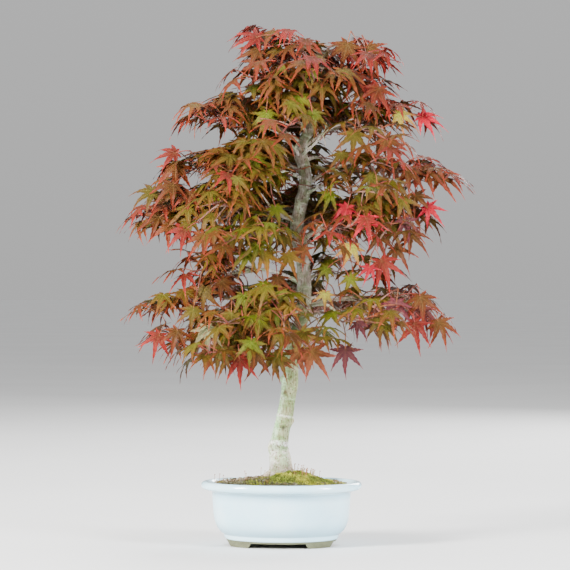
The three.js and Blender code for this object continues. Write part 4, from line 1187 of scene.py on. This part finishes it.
# The pot's wall in section: how far in from the rim's outermost point, and the height.
POT_OUTSIDE = [
    (27.5, 0), (27.2, 0.5), (26.7, 2.2), (26.1, 3.8), (25.6, 5.2), (25.2, 6.2), (24.7, 6.9), (24.1, 7.3),
    (23.6, 7.9), (23.2, 8.9), (22.8, 10.2), (22.4, 11.3), (21.9, 11.9), (21.0, 12.6), (18.8, 14.6), (16.7, 17.3),
    (15.0, 20.6), (13.6, 24.6), (12.7, 29), (12.2, 34), (11.7, 40), (11.2, 46), (10.8, 51.5), (10.3, 53.9),
    (9.0, 55.0), (6.6, 55.5), (4.2, 55.8), (2.4, 56.3), (1.0, 57.3), (0.2, 58.7), (0.0, 60.0), (0.3, 61.4),
    (1.2, 62.8), (2.6, 63.7), (4.2, 64.0), (5.4, 63.9), (6.6, 63.2), (7.8, 62.3), (9.4, 61.2), (11.0, 60.2),
    (11.9, 59.2), (12.2, 57.6), (13.2, 48), (15, 36), (16.4, 28), (19.5, 19), (24, 13.4), (30, 10), (45, 9.9),
]
GLAZE_LINE = 6.9
FOOT_RISE = 5
# The pot's open hollow, across and deep from its middle, and its lowest and highest bare clay.
HOLLOW = (67, 51)
BARE_CLAY = (9.5, 56)
DRAIN_PLACES, DRAIN_RADIUS = (-27, 27), 6


def oval(inset, turn):
    """The corners, across and deep, of an oval that far in from the rim's outermost line."""
    half = RIM_LENGTH / 2 - inset
    return half * np.cos(turn), half * np.sin(turn) * RIM_DEPTH / RIM_LENGTH


def pot_body():
    sides = 144
    profile = np.array(POT_OUTSIDE, float)
    profile = spline(np.column_stack([profile, np.zeros(len(profile))]), 2 * len(profile) - 1)
    x, y = oval(profile[:, :1], turns(sides))
    z = np.broadcast_to(np.clip(profile[:, 1:2], 0, RIM_HEIGHT), x.shape)
    # Thrown and hand finished: a breath of unevenness on the wall, none where it stands.
    wobble = 0.22 * noise(np.stack([x, y, z], -1), 42, 12) * smooth(8, 20, z)
    points = np.stack([x * (1 + wobble / 80), y * (1 + wobble / 62), z], -1).reshape(-1, 3)
    points = np.vstack([points, [0, 0, 0], [0, 0, 10]])
    return mesh_of("pot_fine", from_pot(points), capped(len(profile), sides, True))


def prism(outline, low, high, axes):
    """A cutter: an outline over two axes, run along the third."""
    n = len(outline)
    points = np.zeros((2 * n, 3))
    points[:, axes[:2]] = np.tile(outline, (2, 1))
    points[:, axes[2]] = np.repeat([low, high], n)
    faces = [tuple(range(n)), tuple(range(2 * n - 1, n - 1, -1))] + bands(2, n)
    mesh = mesh_of("cutter", from_pot(points), faces)
    body = bmesh.new()
    body.from_mesh(mesh)
    bmesh.ops.recalc_face_normals(body, faces=body.faces)
    body.to_mesh(mesh)
    body.free()
    return mesh


def foot_outline(half):
    """The bracket foot's curve: a hollow at the ground, a nose, and a sweep up to the belt."""
    cove = [(-half + 3.5 * (1 - (1 - t) ** 1.6), FOOT_RISE * t**1.3) for t in np.linspace(0, 1, 12)]
    return [(-half, -2)] + cove + [(-a, z) for a, z in reversed(cove)] + [(half, -2)]


def build_pot(glaze, bisque):
    pot = in_scene("pot_fine", pot_body())
    cutters = [prism(foot_outline(31), -120, 120, [0, 2, 1]), prism(foot_outline(15), -120, 120, [1, 2, 0])]
    turn = turns(40)
    for x in DRAIN_PLACES:
        ring = np.stack([x + DRAIN_RADIUS * np.cos(turn), DRAIN_RADIUS * np.sin(turn)], 1)
        cutters.append(prism(ring, -3, 20, [0, 1, 2]))
    for cutter in cutters:
        tool = in_scene("cutter", cutter)
        cut = pot.modifiers.new("cut", "BOOLEAN")
        cut.operation = "DIFFERENCE"
        cut.solver = "EXACT"
        cut.object = tool
        bpy.context.view_layer.update()
        shaped = bpy.data.meshes.new_from_object(pot.evaluated_get(bpy.context.evaluated_depsgraph_get()))
        pot.modifiers.clear()
        pot.data = shaped
        bpy.data.objects.remove(tool)
    mesh = pot.data
    mesh.name = "pot_fine"
    mesh.materials.clear()
    mesh.materials.append(glaze)
    mesh.materials.append(bisque)
    for face in mesh.polygons:
        x, y, z = (np.array(face.center) - MIDDLE) / MM
        inside = math.hypot(x / HOLLOW[0], y / HOLLOW[1]) < 1 and BARE_CLAY[0] < z < BARE_CLAY[1]
        face.material_index = int(z < GLAZE_LINE or inside and face.normal.z > -0.2)
    mesh.shade_smooth()
    mesh.set_sharp_from_angle(angle=math.radians(38))
    belongs(pot, ("pot",))


# Soil and moss, in the pot's frame

# The soil's body under its top, down the pot's inside: how far in from the rim, and the height.
SOIL_WALL = np.array([(12.6, 52), (14.2, 44), (15.5, 36), (17.2, 27), (20, 19.3), (24.6, 14), (30.5, 10.4)])
SOIL_INSET = 12.1
SOIL_HALF = (68.4, 52.7)
GRAVEL_HALF = (68.2, 52.5)
GRAVEL_COUNT = 1700
GRAVEL_TONES = np.array([
    [0.30, 0.25, 0.17], [0.15, 0.105, 0.060], [0.50, 0.46, 0.37], [0.055, 0.034, 0.020], [0.24, 0.16, 0.09],
])
# Whitish pebbles on the left half: place and size.
PEBBLES = [(-65.0, -4.0, 1.0), (-58.0, 12.0, 0.7), (-44.0, 14.0, 0.6), (-28.0, 20.0, 0.7)]
# No grain or tuft stands nearer to the trunk's middle than these.
GRAVEL_CLEAR, MOSS_CLEAR = 13, 12.5


def damper(tint, y):
    """The soil is darker and greener towards the front."""
    return mixed(tint, [0.072, 0.082, 0.034], 0.75 * smooth(2, -22, y))


def soil_skin(skin):
    rings, sides = 70, 200
    shares = np.linspace(0, 1, rings + 1)[1:, None]
    x, y = (np.append(0, shares * side) for side in oval(SOIL_INSET, turns(sides)))
    at = np.stack([x, y, 0 * x], 1)
    crumbs = 0.75 * noise(at, 3.2, 21) + 0.45 * np.abs(noise(at, 1.3, 22, 2)) + 0.6 * noise(at, 11, 23)
    away = np.hypot(x / SOIL_HALF[0], y / SOIL_HALF[1])
    # The ground sinks to the wall, where water runs.
    z = ground(x, y) + crumbs * (0.4 + 0.6 * smooth(1.0, 0.93, away)) - 0.35 - 1.1 * away**9
    across, deep = oval(SOIL_WALL[:, :1], turns(sides))
    wall = np.stack([across, deep, np.broadcast_to(SOIL_WALL[:, 1:], across.shape)], -1).reshape(-1, 3)
    points = np.vstack([np.stack([x, y, z], 1), wall, [0, 0, 12.5]])
    tint = mixed([0.13, 0.092, 0.050], [0.34, 0.28, 0.19], smooth(-0.6, 0.7, noise(points, 5, 24)))
    skin.add(from_pot(points), closed_disc(rings + len(SOIL_WALL), sides), damper(tint, points[:, 1]))


def gravel_skin(skin):
    rng = draws(41)
    body = bmesh.new()
    bmesh.ops.create_icosphere(body, subdivisions=1, radius=1.0)
    ball = np.array([v.co[:] for v in body.verts])
    faces = [tuple(v.index for v in f.verts) for f in body.faces]
    body.free()
    made = 0
    while made < GRAVEL_COUNT:
        a, share = rng.uniform(0, 2 * np.pi), math.sqrt(rng.uniform(0, 1)) * 0.965
        x, y = share * math.cos(a) * GRAVEL_HALF[0], share * math.sin(a) * GRAVEL_HALF[1]
        if math.hypot(x, y) < GRAVEL_CLEAR:
            continue
        size = rng.uniform(0.45, 1.15) if rng.uniform() < 0.85 else rng.uniform(1.1, 1.9)
        shape = ball * (1 + 0.28 * rng.normal(0, 1, (len(ball), 1)).clip(-1, 1)) * rng.uniform(0.6, 1.1, 3) * size
        spin = Matrix.Rotation(rng.uniform(0, 6.28), 3, "Z") @ Matrix.Rotation(rng.uniform(0, 6.28), 3, "X")
        centre = np.array([x, y, ground(x, y) + 0.25 * size])
        tint = damper(GRAVEL_TONES[rng.integers(len(GRAVEL_TONES))] * rng.uniform(0.8, 1.15), y)
        skin.add(from_pot(shape @ np.array(spin).T + centre), faces, np.clip(tint, 0, 1))
        made += 1
    for x, y, size in PEBBLES:
        shape = ball * np.array([2.4, 1.8, 1.6]) * size
        skin.add(from_pot(shape + [x, y, ground(x, y) + 1.2 * size]), faces, [0.68, 0.64, 0.56])


MOSS_PLACE, MOSS_LONG, MOSS_SHORT = (19, -9), 43, 29
MOSS_COS, MOSS_SIN = math.cos(math.radians(-6)), math.sin(math.radians(-6))
TUFT_COUNT = 5600
# Loose sprigs of moss on the bare soil to the left and behind: place, spread and count.
SPRIGS = [
    (-30, -22, 4, 40), (-66, 2, 2.2, 46), (-58, -8, 1.6, 26), (-22, -36, 5, 70),
    (-26, 26, 6, 90), (-17, -12, 3, 40), (44, 28, 6, 70), (-44, 22, 4, 30),
]
SPRIG_HALF = (66, 50)
# Spore stalks off the cushion: place and height.
STALKS = [
    (-67, 0, 8), (-62, -4, 9), (-59, 2, 7), (-33, -14, 7.5),
    (-35, -10, 9), (-19, -16, 11), (-17, -18, 8), (-40, -20, 5),
]


def moss_wave(a):
    return 1 + 0.08 * np.sin(3 * a + 1) + 0.05 * np.sin(5 * a)


def moss_at(share, a):
    """The place at a share of the cushion's reach, on a heading. The share is 1 at the rim."""
    u, v = share * np.cos(a) * moss_wave(a) * MOSS_LONG, share * np.sin(a) * moss_wave(a) * MOSS_SHORT
    return u * MOSS_COS - v * MOSS_SIN + MOSS_PLACE[0], u * MOSS_SIN + v * MOSS_COS + MOSS_PLACE[1]


def moss_top(x, y):
    """How far out on the moss's cushion a place is, and its height there."""
    dx, dy = x - MOSS_PLACE[0], y - MOSS_PLACE[1]
    u, v = (dx * MOSS_COS + dy * MOSS_SIN) / MOSS_LONG, (dy * MOSS_COS - dx * MOSS_SIN) / MOSS_SHORT
    share = np.hypot(u, v) / moss_wave(np.arctan2(v, u))
    return share, soil_height(x, y) + np.interp(share, [0, 0.5, 0.84, 1.0, 1.1], [4.5, 4.5, 2.7, -1, -3])


def moss_lumps(at):
    """Rounded humps with hollows between them, and a rough surface, lower towards both ends."""
    humps = 3.0 * np.abs(noise(at, 10, 51)) + 1.1 * noise(at, 4.0, 52) + 0.4 * noise(at, 1.3, 53) - 1.0
    return humps - 3.0 * smooth(24, 44, at[..., 0]) - 2.8 * smooth(1, -13, at[..., 0])


def moss_tone(at):
    """The moss's colour at a place: yellow-green, with darker hollows and brown patches."""
    green = mixed([0.10, 0.12, 0.012], [0.26, 0.25, 0.022], smooth(-0.35, 0.45, noise(at, 11, 55)))
    return mixed(green, [0.125, 0.062, 0.020], 0.75 * smooth(0.22, 0.42, noise(at, 15, 57)))


def cushion(skin):
    rings, sides = 46, 130
    x, y = moss_at(np.linspace(0, 1, rings + 1)[1:, None], turns(sides))
    x, y = np.append(MOSS_PLACE[0], x), np.append(MOSS_PLACE[1], y)
    share, z = moss_top(x, y)
    z = z + moss_lumps(np.stack([x, y, 0 * z], 1)) * smooth(1.05, 0.8, share)
    points = np.stack([x, y, z], 1)
    points = np.vstack([points, points[-sides:] - [0, 0, 2.5], [*MOSS_PLACE, 60.0]])
    skin.add(from_pot(points), closed_disc(rings + 1, sides), 0.42 * moss_tone(points * [1, 1, 0]))


def tuft(skin, rng, base, height, lean, width, colour, tip_colour):
    """A short pointed shoot, three-sided, that leans any way."""
    a = rng.uniform(0, 2 * np.pi)
    out = np.array([math.cos(a) * math.sin(lean), math.sin(a) * math.sin(lean), math.cos(lean)])
    side = np.array([-math.sin(a), math.cos(a), 0]) * width
    fore = np.cross(out, side)
    ring = np.array([side, -0.5 * side + 0.87 * fore, -0.5 * side - 0.87 * fore])
    points = base + np.vstack([ring, 1.25 * ring + 0.55 * height * out, height * out])
    faces = [(0, 1, 4, 3), (1, 2, 5, 4), (2, 0, 3, 5), (3, 4, 6), (4, 5, 6), (5, 3, 6)]
    tint = np.array([colour] * 3 + [(colour + tip_colour) / 2] * 3 + [tip_colour])
    skin.add(from_pot(points), faces, np.clip(tint, 0, 1))


def tufts(skin, rng):
    count = 0
    while count < TUFT_COUNT:
        a, share = rng.uniform(0, 2 * np.pi), math.sqrt(rng.uniform(0, 1)) * 1.03
        x, y = moss_at(share, a)
        if math.hypot(x, y) < MOSS_CLEAR:
            continue
        at = np.array([x, y, 0.0])
        share, z = moss_top(x, y)
        lumps = moss_lumps(at)
        z += lumps * smooth(1.05, 0.8, share) - 0.3
        if share > 0.93:
            z = max(z, soil_height(x, y) - 0.2)
        # Short dense shoots in the hollows, tall bright ones on the humps.
        clump = 1 + 0.75 * noise(at, 3.2, 58, 2)
        colour = moss_tone(at) * rng.uniform(0.35, 0.8) * clump
        tip_colour = np.minimum(moss_tone(at) * rng.uniform(1.2, 2.0) * clump + 0.01, 1)
        tall = rng.uniform(0.9, 1.9) + 1.3 * smooth(-0.5, 1.2, lumps) * rng.uniform(0.2, 1)
        tuft(skin, rng, [x, y, z], tall, rng.uniform(0, 0.75), rng.uniform(0.34, 0.62), colour, tip_colour)
        count += 1
    for middle_x, middle_y, spread, many in SPRIGS:
        for _ in range(many):
            x, y = middle_x + rng.normal(0, spread), middle_y + rng.normal(0, spread)
            if math.hypot(x / SPRIG_HALF[0], y / SPRIG_HALF[1]) > 1 or math.hypot(x, y) < GRAVEL_CLEAR:
                continue
            colour = mixed([0.05, 0.07, 0.01], [0.20, 0.20, 0.02], rng.uniform(0, 1))
            base, bright = [x, y, ground(x, y) - 0.1], np.minimum(colour * 1.5, 1)
            tuft(skin, rng, base, rng.uniform(0.9, 2.4), rng.uniform(0, 0.7), 0.4, colour, bright)


def spore_stalks(skin, rng):
    """Thin stalks with their caps, over the moss and beside it."""
    drawn = [(rng.uniform(10, 38), rng.uniform(-24, 6), rng.uniform(3.5, 7.5)) for _ in range(34)]
    for x, y, height in STALKS + drawn:
        share, top = moss_top(x, y)
        z = max(top if share < 1 else 0, ground(x, y))
        lean = rng.normal(0, 0.12, 2)
        s = np.linspace(0, 1, 6)
        line = np.stack([x + lean[0] * height * s**1.6, y + lean[1] * height * s**1.6, z - 0.4 + height * s], 1)
        tint = mixed([0.30, 0.22, 0.07], [0.34, 0.07, 0.05], rng.uniform(0, 1))
        skin.rod(from_pot, line, [0.26, 0.24, 0.22, 0.2, 0.19, 0.18], 5, tint)
        cap = spline(line[-1] + [[0, 0, 0], [0.3, 0.1, 0.5], [0.85, 0.1, -0.2]], 6)
        tint = mixed([0.46, 0.36, 0.20], [0.34, 0.09, 0.07], rng.uniform(0, 1))
        skin.rod(from_pot, cap, [0.2, 0.42, 0.5, 0.46, 0.32, 0.1], 6, tint)


def moss_skin(skin):
    rng = draws(61)
    cushion(skin)
    tufts(skin, rng)
    spore_stalks(skin, rng)


# Everything in its place

bark = fine_material("bark_fine", bark_nodes, 0.8, 0.0009, specular(0.22))
wood = Skin(trunk_skin, limbs_skin, snags_skin, roots_skin)
wood.piece("trunk_and_branches_fine", bark, "bark", "trunk_and_branches")
build_leaves(bark)
build_pot(
    fine_material("glaze", glaze_nodes, 0.25, 0.0012, {"Coat Weight": 0.5, "Coat Roughness": 0.06}),
    fine_material("bisque", bisque_nodes, 0.5, 0.0004),
)
earth = earth_nodes, 0.8, 0.0008, specular(0.2)
Skin(soil_skin).piece("soil_fine", fine_material("soil_fine", *earth, scale=900.0), "soil", "soil")
Skin(gravel_skin).piece("soil_gravel", fine_material("gravel_fine", *earth, scale=1600.0), "soil")
moss = fine_material("moss_fine", moss_nodes, 0.7, 0.0005, specular(0.15))
Skin(moss_skin).piece("moss_fine", moss, "moss", "moss")

net = fine_material("net_plastic", net_nodes, 0.3, 0.0002)
wire = fine_material("wire_metal", wire_nodes, 0.25, 0.0001, {"Metallic": 1.0})
for side in ("left", "right"):
    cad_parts[f"drain_screen_{side}"].data.materials[0] = net
    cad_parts[f"screen_clip_{side}"].data.materials[0] = wire

# Floor, light and camera

floor_sides = 96
floor_rings = [0.3, 0.9, 2.5, 8.0, 40.0]
floor_points = [(0, 0, 0)]
floor_points += [(r * math.cos(a), r * math.sin(a), 0) for r in floor_rings for a in turns(floor_sides)]
floor_material = fine_material("floor_paper", floor_nodes, 0.05, 0.0002, specular(0.05))
floor_faces = disc_faces(len(floor_rings), floor_sides)
floor = in_scene("floor", mesh_of("floor", floor_points, floor_faces, floor_material))

# A soft sky, brightest overhead, that meets the far floor at one tone.
world = bpy.data.worlds.new("studio")
world.use_nodes = True
sky = Nodes(world.node_tree)
height = sky.split(sky.add("TexCoord")["Generated"])[2]
tone = sky.mix(sky.math("MULTIPLY", height, 1.0, True), (0.80, 0.80, 0.80), (1.30, 1.31, 1.33))
background = world.node_tree.nodes["Background"]
sky.put(tone, background.inputs["Color"])
sky.put(0.65, background.inputs["Strength"])
bpy.context.scene.world = world


def area_light(name, place, target, size, power, colour=(1, 1, 1)):
    light = bpy.data.lights.new(name, "AREA")
    light.shape = "RECTANGLE"
    light.size, light.size_y = size
    light.energy = power
    light.color = colour
    lamp = in_scene(name, light)
    lamp.location = place
    lamp.rotation_euler = (Vector(target) - Vector(place)).to_track_quat("-Z", "Y").to_euler()


area_light("key", (-1.65, -1.35, 1.0), (0, 0, 0.24), (0.5, 0.8), 215, (1.0, 0.985, 0.96))
area_light("fill", (1.75, -1.1, 0.8), (0, 0, 0.24), (0.5, 0.9), 115, (0.96, 0.98, 1.0))
area_light("top", (0.1, 0.5, 1.9), (0, 0, 0.2), (1.4, 1.4), 30)
area_light("rear", (0.9, 2.0, 1.1), (0, 0, 0.28), (0.9, 0.9), 60)

camera = bpy.data.cameras.new("camera")
camera.sensor_width = 36
camera.lens = camera.sensor_width * -EYE[1] / PHOTO_SIDE
camera.clip_end = 100
eye = in_scene("camera", camera)
eye.location = from_tree(EYE)
eye.rotation_euler = (math.radians(90), 0, TREE_TURN)
bpy.context.scene.camera = eye
